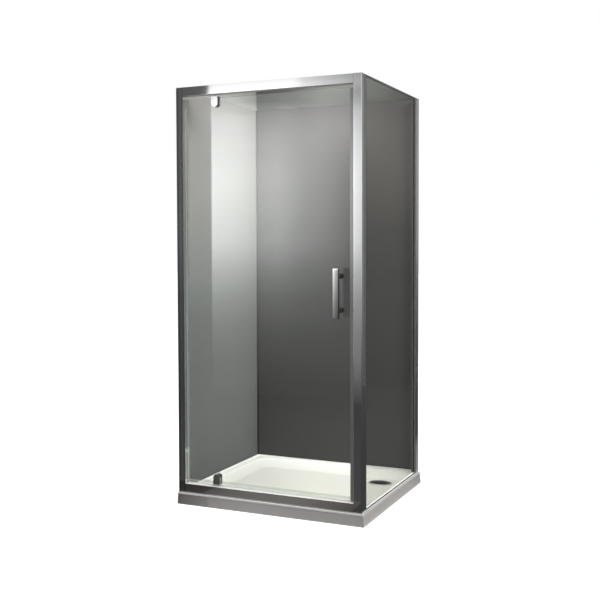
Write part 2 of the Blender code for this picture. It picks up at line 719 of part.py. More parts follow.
def make_post():
    groove_low = glass_plane - MAGNET_GROOVE_WIDTH / 2
    groove_high = glass_plane + MAGNET_GROOVE_WIDTH / 2
    groove_back = post_inner + MAGNET_GROOVE_DEPTH
    wall = PROFILE_WALL
    outside = [(post_inner, front, PROFILE_EDGE), (right, front, POST_EDGE), (right, frame_rear, PROFILE_EDGE),
               (post_inner, frame_rear, PROFILE_EDGE), (post_inner, groove_high), (groove_back, groove_high),
               (groove_back, groove_low), (post_inner, groove_low)]
    inside = [(post_inner + wall, front + wall), (right - wall, front + wall, POST_EDGE - wall),
              (right - wall, frame_rear - wall), (post_inner + wall, frame_rear - wall),
              (post_inner + wall, groove_high + wall), (groove_back + wall, groove_high + wall),
              (groove_back + wall, groove_low - wall), (post_inner + wall, groove_low - wall)]
    post = extrusion("corner_post", [outside, inside], "Z", deck + FIT_GAP, upright_top)
    cap_outline = [(post_inner, front, PROFILE_EDGE), (right, front, POST_EDGE),
                   (right, frame_rear, PROFILE_EDGE), (post_inner, frame_rear, PROFILE_EDGE)]
    finish(extrusion("post_cap", [cap_outline], "Z", top - CAP_THICKNESS, top), satin_steel)
    strip = box("post_magnet_strip", (post_inner + FIT_GAP, groove_back - FIT_GAP),
                (groove_low + FIT_GAP, groove_high - FIT_GAP), (sill_top, header_bottom))
    finish(strip, dark_rubber)
    finish(post, polished)
    return post


def tube_section(low, high):
    # Hollow section with a screw port on the inside of its rear wall.
    wall = PROFILE_WALL
    port_front = frame_rear - wall - PORT_DEPTH
    port_low = (low + high - PORT_WIDTH) / 2
    port_high = port_low + PORT_WIDTH
    inside = [(front + wall, low + wall), (frame_rear - wall, low + wall), (frame_rear - wall, port_low),
              (port_front, port_low), (port_front, port_high), (frame_rear - wall, port_high),
              (frame_rear - wall, high - wall), (front + wall, high - wall)]
    return [rectangle(front, frame_rear, low, high, PROFILE_EDGE), inside]


def make_cross_members(jamb, post):
    ends = (jamb_inner + FIT_GAP, post_inner - FIT_GAP)
    header = extrusion("header", tube_section(header_bottom, top), "X", *ends)
    sill = extrusion("sill", tube_section(deck + FIT_GAP, sill_top), "X", *ends)
    port_y = frame_rear - PROFILE_WALL - PORT_DEPTH / 2
    bite = PROFILE_WALL + FIT_GAP * 2 + PORT_SCREW_BITE
    for side, head_x, direction, upright in (("jamb", jamb_inner - PROFILE_WALL - FIT_GAP, X_AXIS, jamb),
                                             ("post", post_inner + PROFILE_WALL + FIT_GAP, -X_AXIS, post)):
        places = [(head_x, port_y, z) for z in ((deck + FIT_GAP + sill_top) / 2, (header_bottom + top) / 2)]
        screws(side + "_port_screw", places, direction, bite)
        holes = screw_holes(side + "_port_holes", places, direction, bite)
        for piece in (upright, header, sill):
            cut(piece, holes)

    bush_bore = PIN_RADIUS + PIN_CLEARANCE
    bush_outer = bush_bore + BUSH_WALL
    for name, member, seat, outward in (("header_bush", header, header_bottom, 1),
                                        ("sill_bush", sill, sill_top, -1)):
        face = -FIT_GAP
        profile = [(bush_outer, BUSH_DEPTH), (bush_outer, face), (BUSH_FLANGE_RADIUS, face),
                   (BUSH_FLANGE_RADIUS, face - BUSH_FLANGE), (bush_bore, face - BUSH_FLANGE),
                   (bush_bore, BUSH_DEPTH)]
        place = (pivot_x, glass_plane, seat)
        finish(turned(name, profile, place, Z_AXIS * outward, closed=True), nylon)
        hole = rod(name + "_hole", bush_outer + FIT_GAP, -CUT_OVERRUN, PROFILE_WALL + CUT_OVERRUN, place,
                   Z_AXIS * outward, home=cutters)
        cut(member, as_cutter(hole))
    for member in (header, sill):
        finish(member, polished)


# Glass return panel

def channel_outline(closed_end, mouth):
    # U-shaped channel, open towards its mouth.
    inward = PROFILE_WALL if mouth > closed_end else -PROFILE_WALL
    x0 = right - RETURN_CHANNEL_WIDTH
    return [(x0, closed_end), (right, closed_end), (right, mouth), (right - PROFILE_WALL, mouth),
            (right - PROFILE_WALL, closed_end + inward), (x0 + PROFILE_WALL, closed_end + inward),
            (x0 + PROFILE_WALL, mouth), (x0, mouth)]


def gasket_outline(glass_edge, mouth):
    # U-shaped strip that wraps the glass edge inside its channel.
    toward = 1 if mouth > glass_edge else -1
    outer = RETURN_CHANNEL_WIDTH / 2 - PROFILE_WALL - FIT_GAP
    inner = RETURN_GLASS / 2 + FIT_GAP
    web = glass_edge - toward * FIT_GAP
    end = web - toward * RETURN_GASKET_WEB
    return [(return_plane - outer, end), (return_plane + outer, end), (return_plane + outer, mouth),
            (return_plane + inner, mouth), (return_plane + inner, web), (return_plane - inner, web),
            (return_plane - inner, mouth), (return_plane - outer, mouth)]


def make_return_panel(post, back_panel):
    foot = deck + FIT_GAP
    outline = channel_outline(post_channel_front, post_channel_mouth)
    front_channel = extrusion("return_front_channel", [outline], "Z", foot, roof_seat)
    outline = channel_outline(wall_channel_back, wall_channel_mouth)
    wall_channel = extrusion("return_wall_channel", [outline], "Z", foot, roof_seat)
    glass_foot = foot + FOOT_STRIP_HEIGHT + FIT_GAP
    half = RETURN_GLASS / 2
    glass = box("return_glass", (return_plane - half, return_plane + half),
                (return_glass_front, return_glass_back), (glass_foot, roof_seat), GLASS_EDGE)
    finish(glass, clear_glass)
    half = FOOT_STRIP_WIDTH / 2
    strip = box("return_foot_strip", (return_plane - half, return_plane + half),
                (post_channel_mouth + FIT_GAP, wall_channel_mouth - FIT_GAP), (foot, foot + FOOT_STRIP_HEIGHT))
    finish(strip, clear_seal)
    for name, edge, mouth in (("return_front_gasket", return_glass_front, post_channel_mouth),
                              ("return_wall_gasket", return_glass_back, wall_channel_mouth)):
        finish(extrusion(name, [gasket_outline(edge, mouth)], "Z", foot, roof_seat), dark_rubber)

    bite = PROFILE_WALL * 2 + FIT_GAP * 2 + SCREW_PROTRUSION
    head_y = post_channel_front + PROFILE_WALL + FIT_GAP
    places = [(return_plane, head_y, deck + FRAME_HEIGHT * share) for share in SCREW_HEIGHT_SHARES]
    holes = screw_holes("post_channel_holes", places, -Y_AXIS, bite)
    cut(front_channel, holes)
    cut(post, holes)

    head_y = wall_channel_back - PROFILE_WALL - FIT_GAP
    bite = back - head_y - SCREW_TIP_COVER
    places = [(return_plane, head_y, deck + FRAME_HEIGHT * share) for share in SCREW_HEIGHT_SHARES]
    holes = screw_holes("wall_channel_holes", places, Y_AXIS, bite)
    cut(wall_channel, holes)
    cut(back_panel, holes)
    for channel in (front_channel, wall_channel):
        finish(channel, polished)


# Door

def seal_section(reach, fin):
    # U-shaped grip on the glass edge with a fin that reaches out; (outward from the edge, across the glass).
    inner = DOOR_GLASS / 2 + FIT_GAP
    outer = inner + SEAL_LEG
    web = FIT_GAP + SEAL_WEB
    half_fin = fin / 2
    return [(-SEAL_GRIP, -outer), (web, -outer), (web, -half_fin), (reach, -half_fin), (reach, half_fin),
            (web, half_fin), (web, outer), (-SEAL_GRIP, outer), (-SEAL_GRIP, inner), (FIT_GAP, inner),
            (FIT_GAP, -inner), (-SEAL_GRIP, -inner)]


def make_seals(door):
    hinge_reach = HINGE_SIDE_GAP - SEAL_CLEARANCE
    section = seal_section(hinge_reach, HINGE_FIN)
    outline = [(glass_left - out, glass_plane + across) for out, across in section]
    door.append(finish(extrusion("door_hinge_seal", [outline], "Z", glass_bottom, glass_top), clear_seal))
    strike_reach = STRIKE_SIDE_GAP - SEAL_CLEARANCE
    section = seal_section(strike_reach, MAGNET_HEAD)
    outline = [(glass_right + out, glass_plane + across) for out, across in section]
    door.append(finish(extrusion("door_magnet_strip", [outline], "Z", glass_bottom, glass_top), clear_seal))
    bottom_reach = DOOR_BOTTOM_GAP - BOTTOM_FIN_CLEARANCE
    section = seal_section(bottom_reach, BOTTOM_FIN)
    outline = [(glass_plane + across, glass_bottom - out) for out, across in section]
    clamp_half = CLAMP_WIDTH / 2 + FIT_GAP
    runs = {"door_bottom_seal_left": (glass_left + SEAL_GRIP + FIT_GAP, pivot_x - clamp_half),
            "door_bottom_seal_right": (pivot_x + clamp_half, glass_right - SEAL_GRIP - FIT_GAP)}
    for name, (x0, x1) in runs.items():
        door.append(finish(extrusion(name, [outline], "X", x0, x1), clear_seal))


def make_pivot(name, glass, glass_edge, upward, seat, thrust, door):
    # One corner clamp: two plates and their pads on the glass, a bridge round the glass edge, and the pin.
    outer_z = glass_edge + upward * CLAMP_BRIDGE
    inner_z = outer_z - upward * CLAMP_HEIGHT
    x0 = pivot_x - CLAMP_WIDTH / 2
    x1 = pivot_x + CLAMP_WIDTH / 2
    outline = [(x0, outer_z, CLAMP_EDGE), (x1, outer_z, CLAMP_EDGE), (x1, inner_z, CLAMP_ROUND),
               (x0, inner_z, CLAMP_ROUND)]
    stand_off = CLAMP_PAD + 2 * FIT_GAP
    outer_plate = extrusion(name + "_clamp_outer", [outline], "Y", glass_front_face - stand_off - CLAMP_PLATE,
                            glass_front_face - stand_off)
    inner_face = glass_back_face + stand_off
    inner_plate = extrusion(name + "_clamp_inner", [outline], "Y", inner_face, inner_face + CLAMP_PLATE)
    bridge_zs = sorted((glass_edge + upward * (CLAMP_PAD + 2 * FIT_GAP),
                        outer_z - upward * FIT_GAP))
    bridge_ys = (glass_front_face - stand_off + FIT_GAP, inner_face + CLAMP_PLATE / 2)
    bridge = box(name + "_bridge", (x0 + CLAMP_EDGE, x1 - CLAMP_EDGE), bridge_ys, bridge_zs, home=cutters)
    combine(inner_plate, as_cutter(bridge), "UNION")
    pin_hole = rod(name + "_pin_hole", PIN_FOOT_RADIUS + FIT_GAP, -CLAMP_BRIDGE - CUT_OVERRUN, CUT_OVERRUN,
                   (pivot_x, glass_plane, outer_z), Z_AXIS * upward, home=cutters)
    cut(inner_plate, as_cutter(pin_hole))

    # The gasket folds round the glass edge, between the two plates.
    near = DOOR_GLASS / 2 + FIT_GAP
    far = near + CLAMP_PAD
    mouth_z = inner_z + upward * CLAMP_ROUND
    web_z = glass_edge + upward * FIT_GAP
    fold_z = web_z + upward * CLAMP_PAD
    fold = [(-far, mouth_z), (-near, mouth_z), (-near, web_z), (near, web_z), (near, mouth_z), (far, mouth_z),
            (far, fold_z), (-far, fold_z)]
    fold = [(glass_plane + across, z) for across, z in fold]
    gasket = extrusion(name + "_clamp_gasket", [fold], "X", x0 + CLAMP_PAD_MARGIN, x1 - CLAMP_PAD_MARGIN)

    head_y = inner_face + CLAMP_PLATE + FIT_GAP
    bite = head_y - (glass_front_face - stand_off) + CLAMP_SCREW_BITE
    middle_z = (glass_edge + inner_z) / 2
    places = [(pivot_x, head_y, middle_z + side * CLAMP_SCREW_SPACING / 2) for side in (-1, 1)]
    door += screws(name + "_clamp_screw", places, -Y_AXIS, bite)
    holes = screw_holes(name + "_clamp_holes", places, -Y_AXIS, bite)
    for piece in (outer_plate, inner_plate, gasket):
        cut(piece, holes)
    glass_holes = []
    for x, _, z in places:
        glass_holes.append(rod("glass_hole", CLAMP_GLASS_HOLE, -DOOR_GLASS, DOOR_GLASS, (x, glass_plane, z),
                               Y_AXIS, SCREW_SEGMENTS, cutters))
    cut(glass, joined_cutter(name + "_glass_holes", glass_holes))

    foot_z = CLAMP_PAD + 2 * FIT_GAP - CLAMP_BRIDGE
    collar_foot = FIT_GAP
    if thrust:
        # The lower pin's collar carries the door on the bush.
        collar_top = abs(outer_z - seat) - BUSH_FLANGE - 2 * FIT_GAP
    else:
        collar_top = collar_foot + TOP_COLLAR_HEIGHT
    pin_top = abs(outer_z - seat) + BUSH_DEPTH
    profile = [(0, pin_top), (PIN_RADIUS, pin_top), (PIN_RADIUS, collar_top), (COLLAR_RADIUS, collar_top),
               (COLLAR_RADIUS, collar_foot), (PIN_FOOT_RADIUS, collar_foot), (PIN_FOOT_RADIUS, foot_z),
               (0, foot_z)]
    pin = turned(name + "_pivot_pin", profile, (pivot_x, glass_plane, outer_z), Z_AXIS * upward)
    door.append(finish(pin, satin_steel))
    for piece in (outer_plate, inner_plate):
        door.append(finish(piece, dark_chrome))
    door.append(finish(gasket, black_plastic))


def make_handle(glass, door):
    heights = [handle_z + side * HANDLE_CENTRES / 2 for side in (-1, 1)]
    washer_front = glass_front_face - FIT_GAP - WASHER_THICKNESS
    standoff_back = washer_front - FIT_GAP
    standoff_front = standoff_back - STANDOFF_LENGTH
    bar_back = standoff_front - FIT_GAP
    bar = box("handle_bar", (handle_x - HANDLE_WIDTH / 2, handle_x + HANDLE_WIDTH / 2),
              (bar_back - HANDLE_THICKNESS, bar_back),
              (handle_z - HANDLE_LENGTH / 2, handle_z + HANDLE_LENGTH / 2), HANDLE_EDGE)
    door.append(finish(bar, satin_steel))

    # The nylon bushes line the glass holes and seat the screws' disc heads on the inner side.
    bore = HANDLE_SCREW_RADIUS + FIT_GAP
    sleeve = bore + HANDLE_BUSH_WALL
    flange_low = glass_back_face + FIT_GAP
    flange_high = flange_low + HANDLE_BUSH_FLANGE
    head_y = flange_high + FIT_GAP
    bite = head_y - standoff_back + HANDLE_SCREW_BITE
    heads = [(handle_x, head_y, z) for z in heights]
    door += screws("handle_screw", heads, -Y_AXIS, bite, HANDLE_SCREW_RADIUS, HANDLE_SCREW_HEAD,
                   HANDLE_SCREW_HEAD_HEIGHT)
    holes = screw_holes("handle_screw_holes", heads, -Y_AXIS, bite, HANDLE_SCREW_RADIUS)
    bush_profile = [(HANDLE_SCREW_HEAD, flange_high), (HANDLE_SCREW_HEAD, flange_low), (sleeve, flange_low),
                    (sleeve, glass_front_face), (bore, glass_front_face), (bore, flange_high)]
    glass_holes = []
    for number, z in enumerate(heights, 1):
        here = (handle_x, 0, z)
        standoff = rod(f"handle_standoff_{number}", STANDOFF_RADIUS, standoff_front, standoff_back, here,
                       Y_AXIS)
        cut(standoff, holes)
        door.append(finish(standoff, dark_chrome))
        washer = ring(f"handle_washer_{number}", bore, WASHER_RADIUS, washer_front, glass_front_face - FIT_GAP,
                      here, Y_AXIS)
        door.append(finish(washer, black_plastic))
        bush = turned(f"handle_bush_{number}", bush_profile, here, Y_AXIS, closed=True)
        door.append(finish(bush, nylon))
        glass_holes.append(rod("handle_hole", sleeve + FIT_GAP, -DOOR_GLASS, DOOR_GLASS,
                               (handle_x, glass_plane, z), Y_AXIS, home=cutters))
    cut(glass, joined_cutter("handle_glass_holes", glass_holes))


def make_door():
    glass = box("door_glass", (glass_left, glass_right), (glass_front_face, glass_back_face),
                (glass_bottom, glass_top), GLASS_EDGE)
    door = [finish(glass, clear_glass)]
    make_seals(door)
    make_pivot("top", glass, glass_top, 1, header_bottom, False, door)
    make_pivot("bottom", glass, glass_bottom, -1, sill_top, True, door)
    make_handle(glass, door)
    hinge_line = bpy.data.objects.new("door_hinge_line", None)
    hinge_line.location = (pivot_x, glass_plane, 0)
    parts.objects.link(hinge_line)
    bpy.context.view_layer.update()
    for piece in door:
        piece.parent = hinge_line
        piece.matrix_parent_inverse = hinge_line.matrix_world.inverted()


make_tray()
make_aprons()
make_waste()
wall_left, wall_back = make_walls()
left_upright = make_jamb(wall_left)
right_upright = make_post()
make_cross_members(left_upright, right_upright)
make_return_panel(right_upright, wall_back)
make_door()
bpy.context.view_layer.update()
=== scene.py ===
import json
from math import radians

import bmesh
import bpy
from mathutils import Matrix, Vector

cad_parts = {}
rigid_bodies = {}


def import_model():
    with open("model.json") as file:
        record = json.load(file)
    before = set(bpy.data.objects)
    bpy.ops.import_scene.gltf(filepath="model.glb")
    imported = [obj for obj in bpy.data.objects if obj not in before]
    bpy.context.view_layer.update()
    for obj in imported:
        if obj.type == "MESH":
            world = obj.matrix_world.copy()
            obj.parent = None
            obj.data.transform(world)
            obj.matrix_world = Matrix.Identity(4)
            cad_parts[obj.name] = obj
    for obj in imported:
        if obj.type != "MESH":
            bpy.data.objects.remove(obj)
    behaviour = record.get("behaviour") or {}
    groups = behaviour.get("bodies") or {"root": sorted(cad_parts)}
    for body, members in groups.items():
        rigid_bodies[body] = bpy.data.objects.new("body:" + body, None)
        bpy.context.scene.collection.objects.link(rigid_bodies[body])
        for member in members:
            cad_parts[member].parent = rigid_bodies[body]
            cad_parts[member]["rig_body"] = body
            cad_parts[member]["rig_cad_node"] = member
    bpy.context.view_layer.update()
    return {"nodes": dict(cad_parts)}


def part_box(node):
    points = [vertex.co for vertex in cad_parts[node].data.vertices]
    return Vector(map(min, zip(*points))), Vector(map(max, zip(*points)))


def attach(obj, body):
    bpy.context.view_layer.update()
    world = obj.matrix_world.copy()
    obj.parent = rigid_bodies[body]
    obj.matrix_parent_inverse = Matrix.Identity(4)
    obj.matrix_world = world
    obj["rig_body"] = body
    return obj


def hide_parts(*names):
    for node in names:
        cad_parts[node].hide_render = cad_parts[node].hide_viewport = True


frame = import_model()
print("frame loaded:", len(frame["nodes"]), "solids")


class Wire:  # a socket that can stand in a sum, so that 1 - mask adds the Math node it needs
    def __init__(self, finish, socket):
        self.finish = finish
        self.socket = socket

    def maths(self, operation, first, second):
        return self.finish.node("ShaderNodeMath", {"operation": operation}, {0: first, 1: second})

    def __add__(self, other):
        return self.maths("ADD", self, other)

    def __radd__(self, other):
        return self.maths("ADD", other, self)

    def __sub__(self, other):
        return self.maths("SUBTRACT", self, other)

    def __rsub__(self, other):
        return self.maths("SUBTRACT", other, self)

    def __mul__(self, other):
        return self.maths("MULTIPLY", self, other)

    def __rmul__(self, other):
        return self.maths("MULTIPLY", other, self)

    def __truediv__(self, other):
        return self.maths("DIVIDE", self, other)

    def __rtruediv__(self, other):
        return self.maths("DIVIDE", other, self)

    def __pow__(self, other):
        return self.maths("POWER", self, other)

    def __rpow__(self, other):
        return self.maths("POWER", other, self)

    def __gt__(self, other):
        return self.maths("GREATER_THAN", self, other)

    def __lt__(self, other):
        return self.maths("LESS_THAN", self, other)


def rgba(value):  # one number is a grey, three are a colour, and a wire stays as it is
    if isinstance(value, Wire):
        return value
    return (value, value, value, 1) if isinstance(value, (int, float)) else (*value, 1)


class Finish:
    def __init__(self, name, owner=None):
        self.owner = owner or bpy.data.materials.new(name)
        self.owner.use_nodes = True
        self.tree = self.owner.node_tree
        self.tree.nodes.clear()

    def node(self, kind, settings=None, inputs=None, output=0):
        made = self.tree.nodes.new(kind)
        for setting, value in (settings or {}).items():
            if setting == "stops":
                self.setStops(made.color_ramp, value)
            else:
                setattr(made, setting, value)
        for socket, value in (inputs or {}).items():
            if isinstance(value, Wire):
                self.tree.links.new(value.socket, made.inputs[socket])
            else:
                made.inputs[socket].default_value = value
        return Wire(self, made.outputs[output])

    def setStops(self, ramp, stops):
        while len(ramp.elements) > 1:
            ramp.elements.remove(ramp.elements[-1])
        ramp.elements[0].position = stops[0][0]
        ramp.elements[0].color = rgba(stops[0][1])
        for position, value in stops[1:]:
            ramp.elements.new(position).color = rgba(value)

    def place(self, scale=(1, 1, 1), move=(0, 0, 0)):
        spot = self.node("ShaderNodeTexCoord", output="Object")
        return self.node("ShaderNodeMapping", {}, {"Vector": spot, "Scale": scale, "Location": move})

    def along(self, axis):
        spot = self.node("ShaderNodeTexCoord", output="Object")
        return self.node("ShaderNodeSeparateXYZ", {}, {0: spot}, axis)

    def share(self, axis, low, high):  # 0 at the low end, 1 at the high one
        return (self.along(axis) - low) / (high - low)

    def away(self, spot):
        return self.node("ShaderNodeVectorMath", {"operation": "LENGTH"}, {0: spot}, "Value")

    def noise(self, grain, detail=2.0):
        scale = grain if isinstance(grain, tuple) else (grain, grain, grain)
        inputs = {"Vector": self.place(scale), "Scale": 1, "Detail": detail, "Roughness": 0.5}
        return self.node("ShaderNodeTexNoise", {"noise_dimensions": "3D"}, inputs)

    def ramp(self, factor, stops):
        return self.node("ShaderNodeValToRGB", {"stops": stops}, {"Fac": factor})

    def blend(self, mask, first, second, how="MIX"):
        settings = {"data_type": "RGBA", "blend_type": how}
        return self.node("ShaderNodeMix", settings, {0: mask, 6: rgba(first), 7: rgba(second)}, 2)

    def times(self, first, second):
        return self.blend(1.0, first, second, "MULTIPLY")

    def shade(self, tone, wave, amount, dark):  # darker where the wave is high
        return self.blend(wave * amount, tone, dark, "MULTIPLY")

    def vary(self, wave, base, spread):  # a number that follows the wave
        return base + wave * spread

    def bump(self, height, strength, distance):
        inputs = {"Height": height, "Strength": strength, "Distance": distance}
        return self.node("ShaderNodeBump", {}, inputs)

    def principled(self, inputs):
        return self.node("ShaderNodeBsdfPrincipled", {}, inputs)

    def veil(self, amount, tint, body):  # clear, with that much of the body over it
        clear = self.node("ShaderNodeBsdfTransparent", {}, {"Color": rgba(tint)})
        return self.node("ShaderNodeMixShader", {}, {0: amount, 1: clear, 2: body})

    def close(self, shader, kind="ShaderNodeOutputMaterial"):
        made = self.tree.nodes.new(kind)
        self.tree.links.new(shader.socket, made.inputs["Surface"])
        return self.owner


cabin = {"left": -0.45, "right": 0.45, "front": -0.4, "rear": 0.4, "top": 1.904, "profileTop": 1.9}

acrylicLook = {
    # floor and deck are one acrylic; the deck is painted paler, a painted light, and the Across ramps paint
    # shade towards the return glass
    "floor": (0.875, 0.85, 0.785),
    "floorAcross": ((0.78, 1), (0.86, 0.92), (0.97, 0.96)),
    "floorHeight": 0.03,
    "deck": (0.96, 0.95, 0.915),
    "deckAcross": ((0.66, 1), (0.7, 0.76), (1, 0.74)),
    "deckHeight": 0.054,
    "joint": (0.05, 0.05, 0.05),  # the painted shadow line behind the front apron
    "shadowLineEdge": -0.3995,
    # the outer rim is the same acrylic painted greyer, a painted shade
    "rim": (0.48, 0.468, 0.45),
    "frontRim": -0.4035,
    "sideRim": 0.4545,
    "cloudSize": 3,
    "cloud": (0.06, 0.7),
    "roughness": (0.16, 0.05),
    "peelSize": 260,
    "peel": (0.04, 0.0004),
}


def acrylicFinish():  # painted light and shade: its deck is painted paler than its floor, and both are painted darker behind the return glass
    look = acrylicLook
    finish = Finish("trayAcrylic")
    cloud = finish.noise(look["cloudSize"])
    across = finish.share("X", cabin["left"], cabin["right"])
    floor, deck = (finish.times(look[part], finish.ramp(across, look[part + "Across"]))
                   for part in ("floor", "deck"))
    raised = finish.ramp(finish.share("Z", look["floorHeight"], look["deckHeight"]), ((0, 0), (1, 1)))
    inside = finish.blend(raised, floor, deck)
    # a painted shadow line along the front, behind the apron
    inside = finish.blend(finish.along("Y") < look["shadowLineEdge"], inside, look["joint"])
    # the rim outside the glass is painted greyer, a painted shade
    outside = (finish.along("Y") < look["frontRim"]) + (finish.along("X") > look["sideRim"])
    return finish.close(finish.principled({
        "Base Color": finish.shade(finish.blend(outside, inside, look["rim"]), cloud, *look["cloud"]),
        "Roughness": finish.vary(cloud, *look["roughness"]),
        "Normal": finish.bump(finish.noise(look["peelSize"], detail=1.0), *look["peel"]),
    }))


apronLook = {
    "colour": (0.42, 0.405, 0.392),
    "metal": 0.15,
    "lineSize": (5, 5, 900),
    "lines": (0.25, 0.78),
    "cloudSize": (2.2, 2.2, 12),
    "cloud": (0.3, 0.82),
    "roughness": (0.36, 0.12),
    "relief": (0.06, 0.0002),
    # frontFade and sideFade paint light and shade along each apron: the front darker, darkest at its left
    # end, the side paler
    "front": ("X", -0.45, 0.45),
    "frontFade": ((0, 0.28), (0.04, 0.36), (0.17, 0.58), (0.185, 0.74), (0.24, 0.77), (0.42, 0.87),
                  (0.62, 0.83), (1, 0.79)),
    "side": ("Y", -0.41, 0.4),
    "sideFade": ((0, 1.03), (0.25, 1.02), (0.5, 1.08), (0.8, 1.02), (1, 0.8)),
}


# the front and side aprons are lit and shaded copies of one lacquer, with painted light and shade
def apronFinish(side):
    look = apronLook
    finish = Finish(f"{side}ApronLacquer")
    lines = finish.noise(look["lineSize"])
    tone = finish.shade(look["colour"], lines, *look["lines"])
    tone = finish.shade(tone, finish.noise(look["cloudSize"]), *look["cloud"])
    return finish.close(finish.principled({
        "Base Color": finish.times(tone, finish.ramp(finish.share(*look[side]), look[side + "Fade"])),
        "Metallic": look["metal"],
        "Roughness": finish.vary(lines, *look["roughness"]),
        "Normal": finish.bump(lines, *look["relief"]),
    }))


wallLook = {
    # leftFade and backFade were fitted to the photograph's brightness by a separate program
    # the two walls are one grey laminate, the left painted brighter than the back, lit and shaded copies
    "left": ((0.50, 0.505, 0.50), (0.524, 0.502, 0.49)),  # at the foot, and warmer at the top
    "back": ((0.245, 0.24, 0.238), (0.258, 0.24, 0.236)),
    "warm": ((0.5, 0), (0.72, 1)),
    # leftFade and backFade paint shade, darker towards the foot
    "leftFade": ((0.037, 0.29), (0.131, 0.348), (0.236, 0.388), (0.341, 0.402), (0.446, 0.45),
                 (0.551, 0.595), (0.657, 0.694), (0.762, 0.768), (0.851, 0.738), (0.924, 0.71), (0.95, 0.71),
                 (0.995, 0.6)),
    "leftDeep": ((0.5, 1), (0.7, 0.95), (0.98, 0.82)),
    "leftFront": ((0.12, 0.8), (0.3, 0.86), (0.42, 1)),
    "leftTop": ((0.88, 0), (0.97, 1)),
    "backFade": ((0.037, 0.302), (0.131, 0.313), (0.236, 0.284), (0.341, 0.309), (0.446, 0.335),
                 (0.551, 0.347), (0.657, 0.377), (0.762, 0.501), (0.851, 0.603), (0.924, 0.66), (0.95, 0.63),
                 (0.987, 0.55)),
    # backLow and backHigh paint light and shade across the back wall
    "backLow": ((0, 1.0), (0.6, 1.0), (0.85, 1.08), (0.93, 1.22), (1, 1.32)),
    "backHigh": ((0.05, 0.68), (0.13, 0.76), (0.23, 0.9), (0.32, 1.08), (0.42, 1.3), (0.51, 1.38),
                 (0.57, 1.45), (0.71, 1.12), (0.78, 1.03), (0.84, 0.93), (0.9, 0.91), (1, 1.1)),
    "backTop": ((0.81, 0), (0.95, 1)),
    "cloudSize": (1.6, 1.6, 0.5),
    "cloud": (0.08, 0.8),
    "roughness": (0.5, 0.12),
}


def closeLaminate(finish, tone, look):
    cloud = finish.noise(look["cloudSize"])
    return finish.close(finish.principled({
        "Base Color": finish.shade(tone, cloud, *look["cloud"]),
        "Roughness": finish.vary(cloud, *look["roughness"]),
        "Specular IOR Level": 0.0,
    }))


def leftWallFinish():  # painted shade: it is painted darker towards the rear, and beside the jamb near the top
    look = wallLook
    finish = Finish("leftWallLaminate")
    height = finish.share("Z", 0, cabin["top"])
    deep = finish.ramp(finish.share("Y", 0, cabin["rear"]), look["leftDeep"])
    front = finish.ramp(finish.share("Y", cabin["front"], cabin["rear"]), look["leftFront"])
    shade = finish.times(finish.ramp(height, look["leftFade"]), deep)
    shade = finish.blend(finish.ramp(height, look["leftTop"]), shade, finish.times(shade, front))
    plain = finish.blend(finish.ramp(height, look["warm"]), *look["left"])
    return closeLaminate(finish, finish.times(plain, shade), look)


def backWallFinish():  # its painted light and shade also change from left to right, more so near the top
    look = wallLook
    finish = Finish("backWallLaminate")
    height = finish.share("Z", 0, cabin["top"])
    across = finish.share("X", cabin["left"], cabin["right"])
    low, high = (finish.ramp(across, look[part]) for part in ("backLow", "backHigh"))
    spread = finish.blend(finish.ramp(height, look["backTop"]), low, high)
    shade = finish.times(finish.ramp(height, look["backFade"]), spread)
    plain = finish.blend(finish.ramp(height, look["warm"]), *look["back"])
    return closeLaminate(finish, finish.times(plain, shade), look)


roofLook = {
    "colour": (0.42, 0.417, 0.412),
    "slant": 0.5,
    "reach": 1.1,
    # fade, rear and rearAcross paint light and shade on the underside, and rim paints it darker over the
    # return glass
    "fade": ((0.04, 2.4), (0.085, 2.3), (0.13, 1.92), (0.165, 1.65), (0.181, 1.55), (0.191, 0.48), (0.2, 0.5),
             (0.285, 0.62), (0.355, 0.85), (0.43, 1.27), (0.505, 1.68), (0.58, 1.77), (0.63, 1.73),
             (0.7, 1.45), (0.76, 1.32), (0.81, 1.1), (0.855, 0.9), (0.9, 0.8), (0.96, 0.66)),
    "rear": ((0.2, 0.97), (0.5, 1.22), (0.85, 1.7), (1, 1.85)),
    "rearAcross": ((0.24, 1), (0.3, 0.35), (0.35, 0.2), (0.39, 0.1), (0.44, 0), (0.75, 0), (0.85, 0.4),
                   (1, 0.4)),
    "rim": 0.2,
    "rimEdge": 0.4425,
    "cloudSize": 1.6,
    "cloud": (0.08, 0.8),
    "roughness": (0.5, 0.1),
}


def roofFinish():  # painted light and shade: its underside goes on with the painted light of the two walls below it, and is painted darker at its rim
    look = roofLook
    finish = Finish("roofLaminate")
    slanted = (finish.along("X") + finish.along("Y") * look["slant"] - cabin["left"]) / look["reach"]
    tone = finish.times(look["colour"], finish.ramp(slanted, look["fade"]))
    lifted = finish.times(tone, finish.ramp(finish.share("Y", 0, cabin["rear"]), look["rear"]))
    across = finish.ramp(finish.share("X", cabin["left"], cabin["right"]), look["rearAcross"])
    tone = finish.blend(finish.along("X") > look["rimEdge"], finish.blend(across, tone, lifted), look["rim"])
    return closeLaminate(finish, tone, look)


profileLook = {
    "colour": (0.83, 0.835, 0.84),
    "fine": 700,
    "long": 4,
    "lines": (0.1, 0.75),
    "cloudSize": 6,
    "roughness": 0.03,
    "spread": 0.02,
    "relief": (0.006, 0.00005),
    # this ramp paints bands of shade and highlight across the jamb's face
    "jambRibs": ((0, 0.95), (0.1, 0.8), (0.22, 0.55), (0.35, 0.8), (0.5, 1.0), (0.75, 0.9), (1, 0.7)),
}


